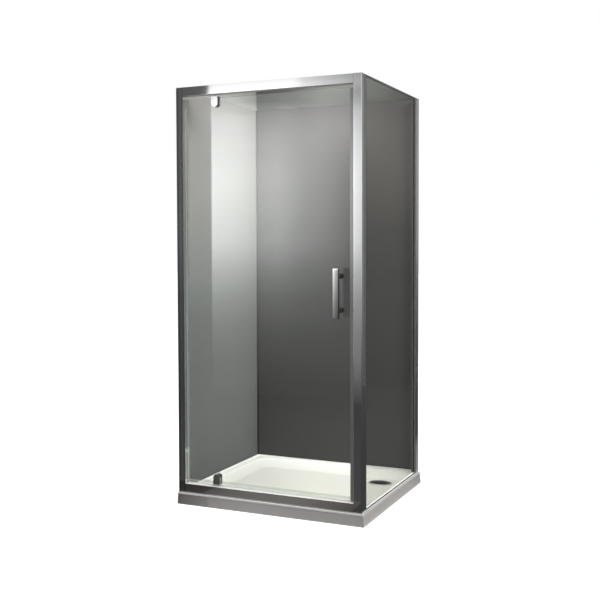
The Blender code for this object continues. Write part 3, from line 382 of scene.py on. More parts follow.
def profileFinish(name, across, paintedBands=None):  # drawn metal, its fine lines across the named axes
    look = profileLook
    finish = Finish(name)
    lines = finish.noise(tuple(look["fine"] if axis in across else look["long"] for axis in "XYZ"))
    tone = finish.shade(look["colour"], lines, *look["lines"])
    # painted bands of shade and highlight across the face
    if paintedBands:
        low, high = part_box("left_jamb")
        tone = finish.times(tone, finish.ramp(finish.share("X", low.x, high.x), paintedBands))
    return finish.close(finish.principled({
        "Base Color": tone,
        "Metallic": 1.0,
        "Roughness": look["roughness"] + (lines + finish.noise(look["cloudSize"])) * look["spread"],
        "Normal": finish.bump(lines, *look["relief"]),
    }))


jambSideLook = {
    "line": -0.388,
    "fade": ((0.05, 0.4), (0.15, 0.45), (0.25, 0.5), (0.5, 0.66), (0.7, 0.8), (0.95, 0.85)),
    "roughness": (0.03, 0.03),
}


def jambSideFinish():  # painted shade: its inner side is painted darker behind the seal than beside it, most towards the foot
    look = jambSideLook
    finish = Finish("jambSideAluminium")
    lines = finish.noise((profileLook["fine"], profileLook["fine"], profileLook["long"]))
    fade = finish.ramp(finish.share("Z", 0, cabin["profileTop"]), look["fade"])
    return finish.close(finish.principled({
        "Base Color": finish.blend(finish.along("Y") > look["line"], profileLook["colour"], fade),
        "Metallic": 1.0,
        "Roughness": finish.vary(lines, *look["roughness"]),
    }))


postCornerLook = {
    "fade": ((0.05, 0.035), (0.163, 0.035), (0.274, 0.05), (0.386, 0.092), (0.497, 0.245), (0.609, 0.5),
             (0.72, 0.64), (0.832, 0.66), (0.94, 0.42)),
    "lineSize": (4, 4, 60),
    "lines": (0.1, 0.85),
    "metal": 0.1,
    "roughness": (0.4, 0.1),
}


def postCornerFinish():  # its round edge is painted as pale as the face beside it, a painted reflection that darkens towards the foot
    look = postCornerLook
    finish = Finish("postCornerAluminium")
    lines = finish.noise(look["lineSize"])
    fade = finish.ramp(finish.share("Z", 0, cabin["profileTop"]), look["fade"])
    return finish.close(finish.principled({
        "Base Color": finish.shade(fade, lines, *look["lines"]),
        "Metallic": look["metal"],
        "Roughness": finish.vary(lines, *look["roughness"]),
    }))


steelLook = {
    "colour": (0.74, 0.74, 0.73),
    "lineSize": (900, 900, 40),
    "lines": (0.2, 0.75),
    "roughness": (0.2, 0.1),
    "relief": (0.03, 0.0001),
}


def satinSteelFinish():
    look = steelLook
    finish = Finish("satinSteel")
    lines = finish.noise(look["lineSize"])
    return finish.close(finish.principled({
        "Base Color": finish.shade(look["colour"], lines, *look["lines"]),
        "Metallic": 1.0,
        "Roughness": finish.vary(lines, *look["roughness"]),
        "Normal": finish.bump(lines, *look["relief"]),
    }))


chromeLook = {
    "cloudSize": 40,
    "cloud": 0.4,
    "pale": 1.2,
    "spread": 0.08,
    "kinds": {  # colour, metal, roughness
        "darkChrome": ((0.44, 0.435, 0.43), 0.9, 0.16),
        # topClampChrome and bottomClampChrome are lit and shaded copies of one chrome, the top painted paler
        "topClampChrome": ((0.66, 0.655, 0.65), 0.9, 0.16),
        "bottomClampChrome": ((0.38, 0.375, 0.37), 0.9, 0.16),
        "blackChrome": ((0.11, 0.106, 0.10), 0.9, 0.16),
        # a dark metal that stands for the shade on round corners, a painted shade
        "jambCornerChrome": ((0.16, 0.16, 0.16), 1.0, 0.3),
        "greyMagnetStrip": ((0.30, 0.305, 0.31), 0.55, 0.1),
    },
}


def chromeFinish(name, colour, metal, roughness):
    look = chromeLook
    finish = Finish(name)
    cloud = finish.noise(look["cloudSize"])
    pale = tuple(part * look["pale"] for part in colour)
    return finish.close(finish.principled({
        "Base Color": finish.blend(cloud * look["cloud"], colour, pale),
        "Metallic": metal,
        "Roughness": finish.vary(cloud, roughness, look["spread"]),
    }))


coverLook = {
    "middle": (0.318, 0.202),
    "reach": (0.0555, 0.040),
    "outer": 1.3,
    "stops": ((0, 0.015), (0.62, 0.02), (0.86, 0.14), (1.0, 0.5), (1.12, 1.0)),
    "cloudSize": 60,
    "metal": 0.4,
    "roughness": (0.14, 0.08),
}


def coverFinish():  # a painted reflection: dark in the middle, painted paler towards its rim, as if its slope caught the light of the tray
    look = coverLook
    finish = Finish("wasteCoverChrome")
    scale = (1 / look["reach"][0], 1 / look["reach"][1], 0)
    move = (-look["middle"][0] * scale[0], -look["middle"][1] * scale[1], 0)
    stops = tuple((place / look["outer"], value) for place, value in look["stops"])
    return finish.close(finish.principled({
        "Base Color": finish.ramp(finish.away(finish.place(scale, move)) / look["outer"], stops),
        "Metallic": look["metal"],
        "Roughness": finish.vary(finish.noise(look["cloudSize"]), *look["roughness"]),
    }))


barLook = {
    "colour": (0.60, 0.598, 0.59),
    "across": ((0, 0.9), (0.1, 1.25), (0.25, 1.2), (0.4, 1.0), (0.75, 0.92), (0.95, 0.68)),
    "upward": ((0, 0.5), (0.1, 0.56), (0.5, 0.8), (0.9, 1.0), (0.96, 1.15), (0.985, 1.9)),
    "lineSize": (40, 40, 900),
    "lines": (0.15, 0.8),
    "roughness": (0.05, 0.05),
}


def barFinish():  # brushed across; its left side and its head are painted paler, a painted highlight, and it is painted darker towards its foot
    look = barLook
    low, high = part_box("handle_bar")
    finish = Finish("handleSteel")
    lines = finish.noise(look["lineSize"])
    across = finish.ramp(finish.share("X", low.x, high.x), look["across"])
    upward = finish.ramp(finish.share("Z", low.z, high.z), look["upward"])
    tone = finish.times(look["colour"], finish.times(across, upward))
    return finish.close(finish.principled({
        "Base Color": finish.shade(tone, lines, *look["lines"]),
        "Metallic": 1.0,
        "Roughness": finish.vary(lines, *look["roughness"]),
    }))


glassLook = {
    "clearGlass": (0.975, 0.99, 0.982),
    # sideGlass is the same glass tinted darker, a painted shade on what is seen through the return glass
    "sideGlass": (0.935, 0.945, 0.93),
    "gloss": (0.95, 0.97, 0.96),
    "reflection": 0.038,
    "grazing": 0.6,
    "fall": 5,
    "streakSize": (3, 3, 1.2),
    "roughness": (0.01, 0.02),
}


def glassFinish(name):  # thin glass, clear from the front and a mirror from the side
    look = glassLook
    finish = Finish(name)
    facing = finish.node("ShaderNodeLayerWeight", {}, {"Blend": 0.5}, "Facing")
    gloss = finish.principled({
        "Base Color": rgba(look["gloss"]),
        "Metallic": 1.0,
        "Roughness": finish.vary(finish.noise(look["streakSize"]), *look["roughness"]),
    })
    mirror = facing ** look["fall"] * look["grazing"] + look["reflection"]
    return finish.close(finish.veil(mirror, look[name], gloss))


edgeLook = {
    "streakSize": 60,
    "veil": (0.35, 0.3),
    "roughness": (0.18, 0.1),
    "kinds": {  # clear tint, deep colour, pale colour
        "glassEdge": ((0.74, 0.85, 0.80), (0.60, 0.70, 0.66), (0.78, 0.85, 0.82)),
        # sideGlassEdge and hingeGlassEdge are darker copies of the glass edge, a painted shade, and
        # footGlassEdge a paler one, a painted highlight
        "sideGlassEdge": ((0.42, 0.44, 0.42), (0.13, 0.14, 0.135), (0.19, 0.2, 0.195)),
        "hingeGlassEdge": ((0.86, 0.89, 0.87), (0.14, 0.15, 0.145), (0.2, 0.21, 0.205)),
        "footGlassEdge": ((0.95, 0.97, 0.96), (0.80, 0.82, 0.80), (0.9, 0.92, 0.9)),
    },
}


def edgeFinish(name, tint, deep, pale):
    finish = Finish(name)
    streak = finish.noise(edgeLook["streakSize"])
    body = finish.principled({
        "Base Color": finish.blend(streak, deep, pale),
        "Roughness": finish.vary(streak, *edgeLook["roughness"]),
    })
    return finish.close(finish.veil(finish.vary(streak, *edgeLook["veil"]), tint, body))


sealLook = {
    "tint": (0.95, 0.96, 0.95),
    "milk": (0.74, 0.75, 0.74),
    "legs": 0.03,
    "bulb": 0.42,
    "foot": 0.08,
    "cloudSize": (30, 30, 8),
    "cloud": 0.02,
    "roughness": (0.2, 0.1),
}


def sealFinish():  # clear on the glass, milkier where the seal stands out past it
    look = sealLook
    low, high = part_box("door_glass")
    finish = Finish("clearSeal")
    cloud = finish.noise(look["cloudSize"])
    beside = (finish.along("X") < low.x) + (finish.along("X") > high.x)
    below = finish.along("Z") < low.z
    amount = look["legs"] + beside * (look["bulb"] - look["legs"]) + below * look["foot"]
    body = finish.principled({
        "Base Color": rgba(look["milk"]),
        "Roughness": finish.vary(cloud, *look["roughness"]),
    })
    return finish.close(finish.veil(amount + cloud * look["cloud"], look["tint"], body))


plasticLook = {
    "grains": (0.3, 0.6),
    "spread": 0.12,
    "relief": (0.12, 0.0002),
    "kinds": {  # colour, roughness, grain
        "roofTopLaminate": ((0.12, 0.12, 0.118), 0.5, 300),
        "roofEdgeBand": ((0.09, 0.09, 0.088), 0.45, 500),
        "wallOutsideLaminate": ((0.16, 0.16, 0.158), 0.5, 300),
        # the header's underside is painted grey, a painted shade
        "undersideLacquer": ((0.42, 0.415, 0.41), 0.4, 400),
        # the sill's top is painted pale, a painted highlight
        "thresholdLacquer": ((0.80, 0.79, 0.77), 0.3, 400),
        "greyRubber": ((0.11, 0.11, 0.108), 0.5, 700),
        "darkRubber": ((0.035, 0.035, 0.037), 0.55, 700),
        "blackPlastic": ((0.03, 0.03, 0.032), 0.35, 500),
        "whiteNylon": ((0.78, 0.77, 0.73), 0.4, 500),
        "trayFoam": ((0.72, 0.71, 0.68), 0.8, 300),
    },
}


def plasticFinish(name, colour, roughness, grain):
    look = plasticLook
    finish = Finish(name)
    grains = finish.noise(grain, detail=1.0)
    return finish.close(finish.principled({
        "Base Color": finish.shade(colour, grains, *look["grains"]),
        "Roughness": finish.vary(grains, roughness, look["spread"]),
        "Normal": finish.bump(grains, *look["relief"]),
    }))


lipLook = {
    "colour": (0.98, 0.98, 0.96),
    "glow": (1.0, 1.0, 0.97),
    "strength": 0.22,
    "grainSize": 60,
    "grains": (0.2, 0.9),
    "roughness": (0.4, 0.1),
}


def lipFinish():  # a white lip that glows a little, though it is no lamp: a painted light
    look = lipLook
    finish = Finish("glowingLip")
    grains = finish.noise(look["grainSize"], detail=1.0)
    return finish.close(finish.principled({
        "Base Color": finish.shade(look["colour"], grains, *look["grains"]),
        "Roughness": finish.vary(grains, *look["roughness"]),
        "Emission Color": rgba(look["glow"]),
        "Emission Strength": look["strength"],
    }))


def makeFinishes():
    made = [acrylicFinish(), apronFinish("front"), apronFinish("side"), leftWallFinish(), backWallFinish(),
            roofFinish(), profileFinish("uprightAluminium", "XY"), profileFinish("railAluminium", "YZ"),
            profileFinish("jambAluminium", "XY", profileLook["jambRibs"]), jambSideFinish(),
            postCornerFinish(), satinSteelFinish(), coverFinish(), barFinish(), glassFinish("clearGlass"),
            glassFinish("sideGlass"), sealFinish(), lipFinish()]
    for make, look in ((chromeFinish, chromeLook), (edgeFinish, edgeLook), (plasticFinish, plasticLook)):
        made += [make(name, *values) for name, values in look["kinds"].items()]
    return {material.name: material for material in made}


finishes = makeFinishes()
print("finishes made:", len(finishes))


def pick(piece):
    bpy.ops.object.select_all(action="DESELECT")
    piece.select_set(True)
    bpy.context.view_layer.objects.active = piece


def openMesh(piece):
    pick(piece)
    bpy.ops.object.mode_set(mode="EDIT")
    bpy.ops.mesh.select_mode(type="FACE")
    bpy.ops.mesh.select_all(action="SELECT")


def closeMesh():
    bpy.ops.object.mode_set(mode="OBJECT")


turned = {"fully": 0.9, "half": 0.5}  # how far a face has to look some way


def towards(direction, least=turned["fully"]):  # a test for faces that look that way, such as "-X"
    axis = "XYZ".index(direction[-1])
    sign = -1 if direction[0] == "-" else 1
    return lambda normal, middle: normal[axis] * sign > least


def selectFaces(piece, wanted):  # by normal and middle point
    shape = bmesh.from_edit_mesh(piece.data)
    for face in shape.faces:
        face.select_set(bool(wanted(face.normal, face.calc_center_median())))
    bmesh.update_edit_mesh(piece.data)


def apply(piece, kind, **settings):
    pick(piece)
    modifier = piece.modifiers.new(kind.title(), kind)
    for setting, value in settings.items():
        setattr(modifier, setting, value)
    bpy.ops.object.modifier_apply(modifier=modifier.name)


mending = {"merge": 0.00002, "flat": 0.2}


def mend(piece):
    openMesh(piece)
    bpy.ops.mesh.remove_doubles(threshold=mending["merge"])
    bpy.ops.mesh.dissolve_limited(angle_limit=radians(mending["flat"]))
    bpy.ops.mesh.normals_make_consistent(inside=False)
    closeMesh()


def softenEdges(piece, width, steps=2, angle=35):
    if width:
        apply(piece, "BEVEL", width=width, segments=steps, limit_method="ANGLE",
              angle_limit=radians(angle), use_clamp_overlap=False)
    pick(piece)
    bpy.ops.object.shade_smooth_by_angle(angle=radians(angle))
    apply(piece, "WEIGHTED_NORMAL", keep_sharp=True)


def paint(piece, name):
    piece.data.materials.clear()
    piece.data.materials.append(finishes[name])


def paintFaces(piece, name, wanted):  # the wanted faces take one finish more
    piece.data.materials.append(finishes[name])
    openMesh(piece)
    selectFaces(piece, wanted)
    piece.active_material_index = len(piece.data.materials) - 1
    bpy.ops.object.material_slot_assign()
    closeMesh()


def seat(piece, body, slotName, *nodes):
    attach(piece, body)
    if nodes:
        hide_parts(*nodes)
    return piece


def camel(words):
    first, *rest = words.split("_")
    return first + "".join(word.title() for word in rest)


def refine(nodeName, finishName, slotName, edge=0.0, steps=2, body="cabin", angle=35, name=None):
    # a merged copy of a CAD solid, with softened edges and smooth curves, that stands for it
    pick(frame["nodes"][nodeName])
    bpy.ops.object.duplicate()
    piece = bpy.context.view_layer.objects.active
    piece.name = piece.data.name = name or camel(nodeName)
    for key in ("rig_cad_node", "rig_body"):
        if key in piece:
            del piece[key]
    piece.parent = None
    bpy.ops.mesh.customdata_custom_splitnormals_clear()
    mend(piece)
    softenEdges(piece, edge, steps, angle)
    paint(piece, finishName)
    return seat(piece, body, slotName, nodeName)


def tint(nodeName, finishName):  # a CAD solid whose shape stays as it is
    node = frame["nodes"][nodeName]
    if not node.material_slots:
        node.data.materials.append(None)
    for materialSlot in node.material_slots:
        materialSlot.material = finishes[finishName]


tray = {"edge": 0.0, "smooth": 40, "apronEdge": 0.0006}


def makeTray():
    refine("tray_shell", "trayAcrylic", "acrylic", tray["edge"], angle=tray["smooth"])
    for side in ("front", "side"):
        refine(f"{side}_apron", f"{side}ApronLacquer", "apron_metal", tray["apronEdge"])
    tint("tray_core", "trayFoam")


waste = {"edge": 0.0004, "coverEdge": 0.0008, "coverSteps": 3, "coverSmooth": 50}


def makeWaste():
    refine("waste_cover", "wasteCoverChrome", "dark_chrome", waste["coverEdge"], waste["coverSteps"],
           "waste_cover", waste["coverSmooth"])
    refine("waste_flange", "satinSteel", "dark_chrome", waste["edge"])
    refine("waste_nut", "blackPlastic", "black_plastic", waste["edge"])
    tint("waste_gasket", "darkRubber")


walls = {"edge": 0.0, "roofEdge": 0.0, "beadEdge": 0.0003}


def makeWalls():
    for side, outward in (("left", "-X"), ("back", "Y")):
        panel = refine(f"{side}_wall_panel", f"{side}WallLaminate", f"{side}_wall", walls["edge"])
        paintFaces(panel, "darkRubber", towards("Z"))  # painted black, a painted shade under the roof, which casts no shadow
        paintFaces(panel, "wallOutsideLaminate", towards(outward))
    # the rear corner bead is painted dark, a painted shade in the corner
    refine("rear_corner_profile", "jambCornerChrome", "satin_steel", walls["beadEdge"], name="rearCornerBead")
    tint("wall_foot_gasket", "darkRubber")


def makeRoof():  # the studio light passes it, so that the inside is lit plainly
    roof = refine("roof_panel", "roofLaminate", "back_wall", walls["roofEdge"])
    paintFaces(roof, "roofEdgeBand", lambda normal, middle: abs(normal.z) < turned["fully"])
    paintFaces(roof, "roofTopLaminate", towards("Z"))
    roof.visible_shadow = roof.visible_diffuse = False


front = {
    "edge": 0.0005,
    "jambEdge": 0.0,
    "capEdge": 0.0003,
    "jambCorner": 0.0016,
    "jambRound": (0.2, 0.95),  # where its round corner begins and the flat side follows
    "postRound": (0.15, -0.2),
    "threshold": 0.09,
}


def makeFrontFrame():
    metal = "polished_aluminium"
    refine("left_wall_channel", "uprightAluminium", metal, front["edge"])
    jamb = refine("left_jamb", "jambAluminium", metal, front["jambEdge"])
    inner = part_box("left_jamb")[1].x - front["jambCorner"]
    bent, flat = front["jambRound"]
    # the inner side is painted darker behind the seal, a painted shade
    paintFaces(jamb, "jambSideAluminium", lambda normal, middle: normal.x > flat and middle.x > inner)
    # the jamb's round corner is painted dark, a painted shade
    paintFaces(jamb, "jambCornerChrome", lambda normal, middle: bent < normal.x < flat and middle.x > inner)
    post = refine("corner_post", "uprightAluminium", metal, front["edge"])
    right, forward = front["postRound"]
    # the round corner takes a painted reflection
    paintFaces(post, "postCornerAluminium", lambda normal, middle: normal.y < forward and normal.x > right)
    header = refine("header", "railAluminium", metal, front["edge"], name="headerRail")
    # the underside is painted grey, a painted shade
    paintFaces(header, "undersideLacquer", towards("-Z"))
    sill = refine("sill", "railAluminium", metal, front["edge"], name="sillRail")
    # the sill's top takes a painted highlight
    paintFaces(sill, "thresholdLacquer",
               lambda normal, middle: normal.z > turned["fully"] and middle.z > front["threshold"])
    for side in ("jamb", "post"):
        refine(f"{side}_cap", "satinSteel", "satin_steel", front["capEdge"])
        for number in (1, 2):
            tint(f"{side}_port_screw_{number}", "satinSteel")
    tint("post_magnet_strip", "darkRubber")
    for rail in ("header", "sill"):
        tint(f"{rail}_bush", "whiteNylon")


panes = {"edge": 0.0, "face": 0.98}


def makeGlass(nodeName, finishName, edgeName, across, body):
    pane = refine(nodeName, finishName, "clear_glass", panes["edge"], body=body)
    paintFaces(pane, edgeName, lambda normal, middle: abs(normal[across]) < panes["face"])
    return pane


returnPanel = {"frontEdge": 0.0005, "wallEdge": 0.0, "stripEdge": 0.0, "lip": 0.443}


def makeReturnPanel():
    # the return glass takes a darker tint and darker edges, a painted shade
    pane = makeGlass("return_glass", "sideGlass", "sideGlassEdge", 0, "cabin")
    # its foot takes the glowing lip, a painted light
    paintFaces(pane, "glowingLip", towards("-Z", turned["half"]))
    for side, rubber in (("front", "darkRubber"), ("wall", "greyRubber")):
        channel = refine(f"return_{side}_channel", "uprightAluminium", "polished_aluminium",
                         returnPanel[side + "Edge"])
        tint(f"return_{side}_gasket", rubber)
    paintFaces(channel, "backWallLaminate", towards("-Y"))  # the wall channel's front is painted with the wall's laminate, a painted reflection of the wall
    makeFootStrip()


def makeFootStrip():  # pale and glowing inside, a painted light, dark outside
    strip = refine("return_foot_strip", "glowingLip", "dark_rubber", returnPanel["stripEdge"])
    openMesh(strip)
    bpy.ops.mesh.bisect(plane_co=(returnPanel["lip"], 0, 0), plane_no=(1, 0, 0))
    closeMesh()
    paintFaces(strip, "darkRubber", lambda normal, middle: middle.x > returnPanel["lip"])


door = {
    "sealEdge": 0.0002,
    "sealSteps": 1,
    "stripGap": 0.0008,
    "clampEdge": 0.0012,
    "clampSteps": 3,
    "screwEdge": 0.0003,
}


def makeDoor():
    pane = makeGlass("door_glass", "clearGlass", "glassEdge", 1, "door")
    # the hinge edge takes a darker copy of the glass edge, a painted shade, and the foot a paler one, a
    # painted highlight
    paintFaces(pane, "hingeGlassEdge", towards("-X"))
    paintFaces(pane, "footGlassEdge", towards("-Z"))
    for place in ("bottom_seal_left", "bottom_seal_right", "hinge_seal"):
        refine(f"door_{place}", "clearSeal", "clear_seal", door["sealEdge"], door["sealSteps"], "door")
    makeMagnetStrip()


def makeMagnetStrip():  # it reaches down to the sill
    strip = refine("door_magnet_strip", "clearSeal", "clear_seal", door["sealEdge"], door["sealSteps"],
                   "door")
    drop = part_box("door_magnet_strip")[0].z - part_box("sill")[1].z - door["stripGap"]
    openMesh(strip)
    selectFaces(strip, towards("-Z"))
    bpy.ops.transform.translate(value=(0, 0, -drop))
    closeMesh()
    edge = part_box("door_glass")[1].x
    paintFaces(strip, "greyMagnetStrip", lambda normal, middle: middle.x > edge)


def makePivots():
    for end in ("top", "bottom"):
        for side in ("outer", "inner"):
            # the top plates are painted paler than the bottom ones, lit and shaded copies of one chrome
            plate = refine(f"{end}_clamp_{side}", f"{end}ClampChrome", "dark_chrome", door["clampEdge"],
                           door["clampSteps"], "door")
        if end == "top":
            paintFaces(plate, "satinSteel", towards("X", turned["half"]))  # the inner plate's right side, painted pale, a painted highlight
        for part in ("clamp_screw_1", "clamp_screw_2", "pivot_pin"):
            refine(f"{end}_{part}", "satinSteel", "satin_steel", door["screwEdge"], body="door")
        tint(f"{end}_clamp_gasket", "blackPlastic")


handle = {"edge": 0.0, "standoffEdge": 0.0006, "washerEdge": 0.0003, "screwEdge": 0.0006}


def makeHandle():
    bar = refine("handle_bar", "handleSteel", "satin_steel", handle["edge"], body="door")
    # its right side is painted black, a painted shade
    paintFaces(bar, "blackChrome", towards("X"))
    for number in (1, 2):
        refine(f"handle_standoff_{number}", "blackChrome", "dark_chrome", handle["standoffEdge"], body="door")
        refine(f"handle_washer_{number}", "blackPlastic", "black_plastic", handle["washerEdge"], body="door")
        refine(f"handle_screw_{number}", "darkChrome", "satin_steel", handle["screwEdge"], body="door")
        tint(f"handle_bush_{number}", "darkRubber")


screws = {
    "sides": 20,
    "headRadius": 0.0035,
    "headHeight": 0.0016,
    "dome": (0.22, 0.25),
    "land": 0.28,
    "socket": (0.08, -0.55),
    "shankRadius": 0.0019,
    "shankLength": 0.006,
    "edge": 0.0002,
    "places": {  # middle of the row, the way the shank points, heights
        "leftChannel": ((-0.4396, -0.380), (-1, 0), (0.202, 0.979, 1.756)),
        "jamb": ((-0.4327, -0.3597), (0, -1), (0.313, 0.905, 1.645)),
        "postChannel": ((0.440, -0.3576), (0, -1), (0.313, 0.905, 1.645)),
        "wallChannel": ((0.440, 0.3896), (0, 1), (0.202, 0.979, 1.756)),
    },
}


def modelScrew():  # stands on the origin, its shank below
    radius, height = screws["headRadius"], screws["headHeight"]
    bpy.ops.object.select_all(action="DESELECT")
    bpy.ops.mesh.primitive_cylinder_add(vertices=screws["sides"], radius=radius, depth=height,
                                        location=(0, 0, height / 2))
    piece = bpy.context.active_object
    bpy.ops.object.transform_apply(location=True)
    openMesh(piece)
    selectFaces(piece, towards("Z"))
    bpy.ops.mesh.inset(thickness=radius * screws["dome"][0], depth=height * screws["dome"][1])
    bpy.ops.mesh.inset(thickness=radius * screws["land"])
    bpy.ops.mesh.inset(thickness=radius * screws["socket"][0], depth=height * screws["socket"][1])
    selectFaces(piece, towards("-Z"))
    bpy.ops.mesh.inset(thickness=radius - screws["shankRadius"])
    bpy.ops.mesh.extrude_region_move(TRANSFORM_OT_translate={"value": (0, 0, -screws["shankLength"])})
    closeMesh()
    softenEdges(piece, screws["edge"])
    paint(piece, "satinSteel")
    return piece


def makeFrameScrews():
    pattern = modelScrew()
    for group, ((x, y), inward, heights) in screws["places"].items():
        turn = (-Vector((*inward, 0))).to_track_quat("Z", "Y").to_matrix().to_4x4()
        for number, z in enumerate(heights, 1):
            pick(pattern)
            bpy.ops.object.duplicate()
            piece = bpy.context.view_layer.objects.active
            piece.name = piece.data.name = f"{group}Screw{number}"
            piece.matrix_world = Matrix.Translation((x, y, z)) @ turn
            bpy.ops.object.transform_apply(location=True, rotation=True)
            seat(piece, "cabin", "satin_steel")
    bpy.data.objects.remove(pattern)


makeTray()
makeWaste()
makeWalls()
makeRoof()
makeFrontFrame()
makeReturnPanel()
makeDoor()
makePivots()
makeHandle()
makeFrameScrews()


def standing(left, right, y, low, high):  # a card's middle, size and turn
    return ((left + right) / 2, y, (low + high) / 2), (right - left, high - low), (90, 0, 0)


def facing(x, front, back, low, high):
    return (x, (front + back) / 2, (low + high) / 2), (back - front, high - low), (90, 0, 90)


def lying(left, right, front, back, z, turn=0):
    return ((left + right) / 2, (front + back) / 2, z), (right - left, back - front), (0, 0, turn)


softbox = {
    # across and upward were fitted to the photograph's brightness by a separate program
    "x": (-1.775, -0.40),
    "y": -3.0,
    "z": (0.05, 2.31),
    "power": 7.5,
    "across": ((0, 0.993), (0.127, 0.889), (0.273, 0.681), (0.418, 0.735), (0.564, 0.485), (0.673, 0.388),
               (0.782, 0.24), (0.86, 0.118), (0.92, 0.108), (1, 0.098)),
    "upward": ((0, 0.012), (0.111, 0.025), (0.221, 0.073), (0.332, 0.2), (0.42, 0.4), (0.509, 0.735),
               (0.619, 0.888), (0.73, 0.965), (0.841, 0.811), (0.925, 0.569), (0.95, 0.4), (0.975, 0.3),
               (1, 0.27)),
    "around": ((0, 0.06), (0.012, 0.065), (0.03, 0.085), (0.06, 0.14), (0.09, 0.18), (0.25, 0.2), (1, 0.14)),
    "aroundHigh": 4,
}

headerCard = {
    "x": (-1.775, 0.2),
    "y": -3.0,
    "z": (2.31, 2.9),
    "power": 1.35,
    "across": ((0, 1.0), (0.36, 1.0), (0.40, 0.72), (0.475, 0.56), (0.572, 0.42), (0.61, 0.36), (1, 0.3)),
    "upward": ((0, 1.0), (0.09, 1.0), (0.13, 0.87), (0.2, 0.84), (1, 0.84)),
}

cards = {  # place, axis and its two ends, strength from one end to the other
    "frontCard": (standing(-7, 6, -3.1, 0, 5), ("Z", 0, 4),
                  ((0, 0.055), (0.075, 0.062), (0.19, 0.076), (0.25, 0.095), (0.3, 0.11), (1, 0.11))),
    "rearStrip": (standing(0.9, 1.331, 3.2, 0, 5), ("Z", 0, 4),
                  ((0, 0.05), (0.043, 0.06), (0.105, 0.075), (0.166, 0.125), (0.228, 0.2), (0.289, 0.32),
                   (0.35, 0.38), (0.475, 0.42), (0.6, 0.37), (1, 0.33))),
    "rearCard": (standing(1.332, 1.764, 3.2, 0, 5), ("Z", 0, 4), ((0, 0.04), (0.35, 0.06), (1, 0.08))),
    "cornerCard": (facing(6.1, -3.1, 3.2, 0, 5), ("Z", 0, 4),
                   ((0, 0.11), (0.139, 0.25), (0.274, 0.5), (0.41, 0.68), (0.54, 0.7), (0.68, 0.45))),
    "rearEdge": (standing(1.765, 9, 3.2, 0, 5), ("Z", 0, 4),
                 ((0, 0.095), (0.12, 0.14), (0.5, 0.26), (1, 0.22))),
    "sillCard": (lying(-1.2, 1.2, -0.75, -0.43, 0.001), ("X", -0.6, 0.45),
                 ((0, 0.035), (0.155, 0.055), (0.165, 0.1), (0.3, 0.15), (0.45, 0.17), (0.62, 0.175),
                  (0.8, 0.12), (0.88, 0.09), (0.89, 0.055))),
    "lowCard": (lying(-5, 3, -3.12, -0.75, 0.001), ("Y", -3.1, -0.75), ((0, 0.055), (1, 0.065))),
    "channelCard": (lying(0.6515, 0.6645, 0.474, 1.626, 0.0015, -17.27), ("Y", 0.45, 1.6),
                    ((0, 0.28), (0.6, 0.24), (0.95, 0.05))),
    "sideCard": (lying(0.475, 9, -1.0, 3.22, 0.001), ("Y", -1.0, 3.2),
                 ((0, 0.05), (0.5, 0.052), (0.8, 0.06), (1, 0.065))),
}
cardTones = {"sillCard": (1.0, 0.95, 0.88)}


def stageCard(name, area, material):  # a card that only gloss can see
    middle, size, turn = area
    bpy.ops.object.select_all(action="DESELECT")
    bpy.ops.mesh.primitive_plane_add(size=1, location=middle, rotation=[radians(angle) for angle in turn])
    card = bpy.context.active_object
    card.name = card.data.name = name
    card.scale = (*size, 1)
    bpy.ops.object.transform_apply(location=True, rotation=True, scale=True)
    card.data.materials.append(material)
    card.visible_camera = card.visible_diffuse = False
    card.visible_transmission = card.visible_shadow = False


def glow(finish, colour, strength=1.0):
    return finish.close(finish.node("ShaderNodeEmission", {}, {"Color": colour, "Strength": strength}))


def twoWays(finish, look):
    across = finish.ramp(finish.share("X", *look["x"]), look["across"])
    return finish.times(across, finish.ramp(finish.share("Z", *look["z"]), look["upward"]))


def softboxFinish():
    look = softbox
    finish = Finish("softbox")
    around = finish.ramp(finish.share("Z", 0, look["aroundHigh"]), look["around"])
    level = finish.blend(1.0, twoWays(finish, look), finish.times(around, 1 / look["power"]), "ADD")
    return glow(finish, level, look["power"])


def headerCardFinish():
    finish = Finish("headerCard")
    return glow(finish, twoWays(finish, headerCard), headerCard["power"])


def cardFinish(name, span, stops):
    finish = Finish(name)
    return glow(finish, finish.times(finish.ramp(finish.share(*span), stops), cardTones.get(name, 1)))


def makeCards():
    for name, look, material in (("softbox", softbox, softboxFinish()),
                                 ("headerCard", headerCard, headerCardFinish())):
        stageCard(name, standing(*look["x"], look["y"], *look["z"]), material)
    for name, (area, span, stops) in cards.items():
        stageCard(name, area, cardFinish(name, span, stops))


studio = {
    "floorSize": 60,
    "floorTone": 0.45,
    "floorLevel": ((0, 0.74), (0.2, 0.8), (0.5, 1.0), (1, 1.0)),
    "floorReach": 8,
    "world": 0.32,
    "backdrop": 1.0,
}


def seen(finish):  # 1 for what the camera sees, also in metal and through glass
    camera, glossy, through = (finish.node("ShaderNodeLightPath", output=f"Is {way} Ray")
                               for way in ("Camera", "Glossy", "Transmission"))
    return camera + glossy + through


def makeFloor():
    bpy.ops.object.select_all(action="DESELECT")
    bpy.ops.mesh.primitive_plane_add(size=studio["floorSize"])
    floor = bpy.context.active_object
    floor.name = "floor"
    finish = Finish("paleFloor")
    pale = finish.node("ShaderNodeBsdfDiffuse", {}, {"Color": rgba(studio["floorTone"])})
    level = finish.ramp(finish.away(finish.place()) / studio["floorReach"], studio["floorLevel"])
    glowing = finish.node("ShaderNodeEmission", {}, {"Color": level, "Strength": seen(finish)})
    floor.data.materials.append(finish.close(finish.node("ShaderNodeAddShader", {}, {0: pale, 1: glowing})))


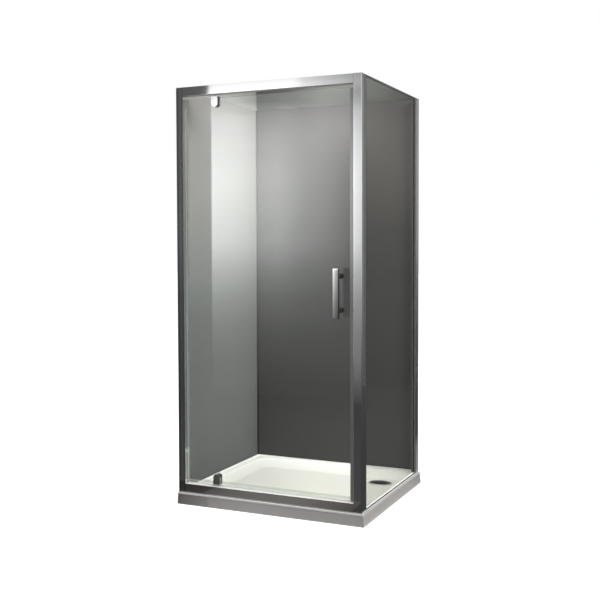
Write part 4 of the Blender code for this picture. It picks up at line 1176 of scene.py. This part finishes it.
def makeWorld():
    world = bpy.data.worlds.new("studio")
    bpy.context.scene.world = world
    finish = Finish("studio", world)
    colour = finish.blend(seen(finish), studio["world"], studio["backdrop"])
    sky = finish.node("ShaderNodeBackground", {}, {"Color": colour, "Strength": 1.0})
    finish.close(sky, "ShaderNodeOutputWorld")


lamps = {
    "keyLamp": {"place": (4.3, -1.9, 3.4), "aim": (0, 0, 0.9), "size": 2.2, "power": 265},
    "topLamp": {"place": (-0.1, -0.3, 4.6), "aim": (0, 0, 0), "size": 1.6, "power": 190},
    "leftLamp": {"place": (-2.6, -3.6, 2.6), "aim": (0, 0, 0.9), "size": 2.0, "power": 25},
    "rearLamp": {"place": (-1.8, 4.2, 3.2), "aim": (0, 0, 0.9), "size": 2.4, "power": 110},
}


def makeLamps():
    for name, look in lamps.items():
        light = bpy.data.lights.new(name, "AREA")
        light.size, light.energy = look["size"], look["power"]
        lamp = bpy.data.objects.new(name, light)
        bpy.context.scene.collection.objects.link(lamp)
        lamp.location = look["place"]
        lamp.rotation_euler = (Vector(look["place"]) - Vector(look["aim"])).to_track_quat("Z", "Y").to_euler()
        lamp.visible_glossy = lamp.visible_camera = False


view = {
    "place": (1.81806, -4.05225, 1.19709),
    "turn": 24.335,
    "dip": 2.2035,
    "roll": -0.167,
    "sensor": 36,
    "lens": 931.6 / 600,  # the solved focal length over the image's width, both in pixels
    "rise": -0.035,
}


def makeCamera():
    scene = bpy.context.scene
    camera = bpy.data.objects.new("camera", bpy.data.cameras.new("camera"))
    scene.collection.objects.link(camera)
    scene.camera = camera
    camera.data.sensor_width = view["sensor"]
    camera.data.lens = view["lens"] * view["sensor"]
    camera.data.shift_y = view["rise"]
    camera.matrix_world = (Matrix.Translation(view["place"]) @ Matrix.Rotation(radians(view["turn"]), 4, "Z")
                           @ Matrix.Rotation(radians(90 - view["dip"]), 4, "X")
                           @ Matrix.Rotation(radians(view["roll"]), 4, "Z"))
    scene.view_settings.view_transform = "Standard"


makeCards()
makeFloor()
makeWorld()
makeLamps()
makeCamera()
print("studio set")
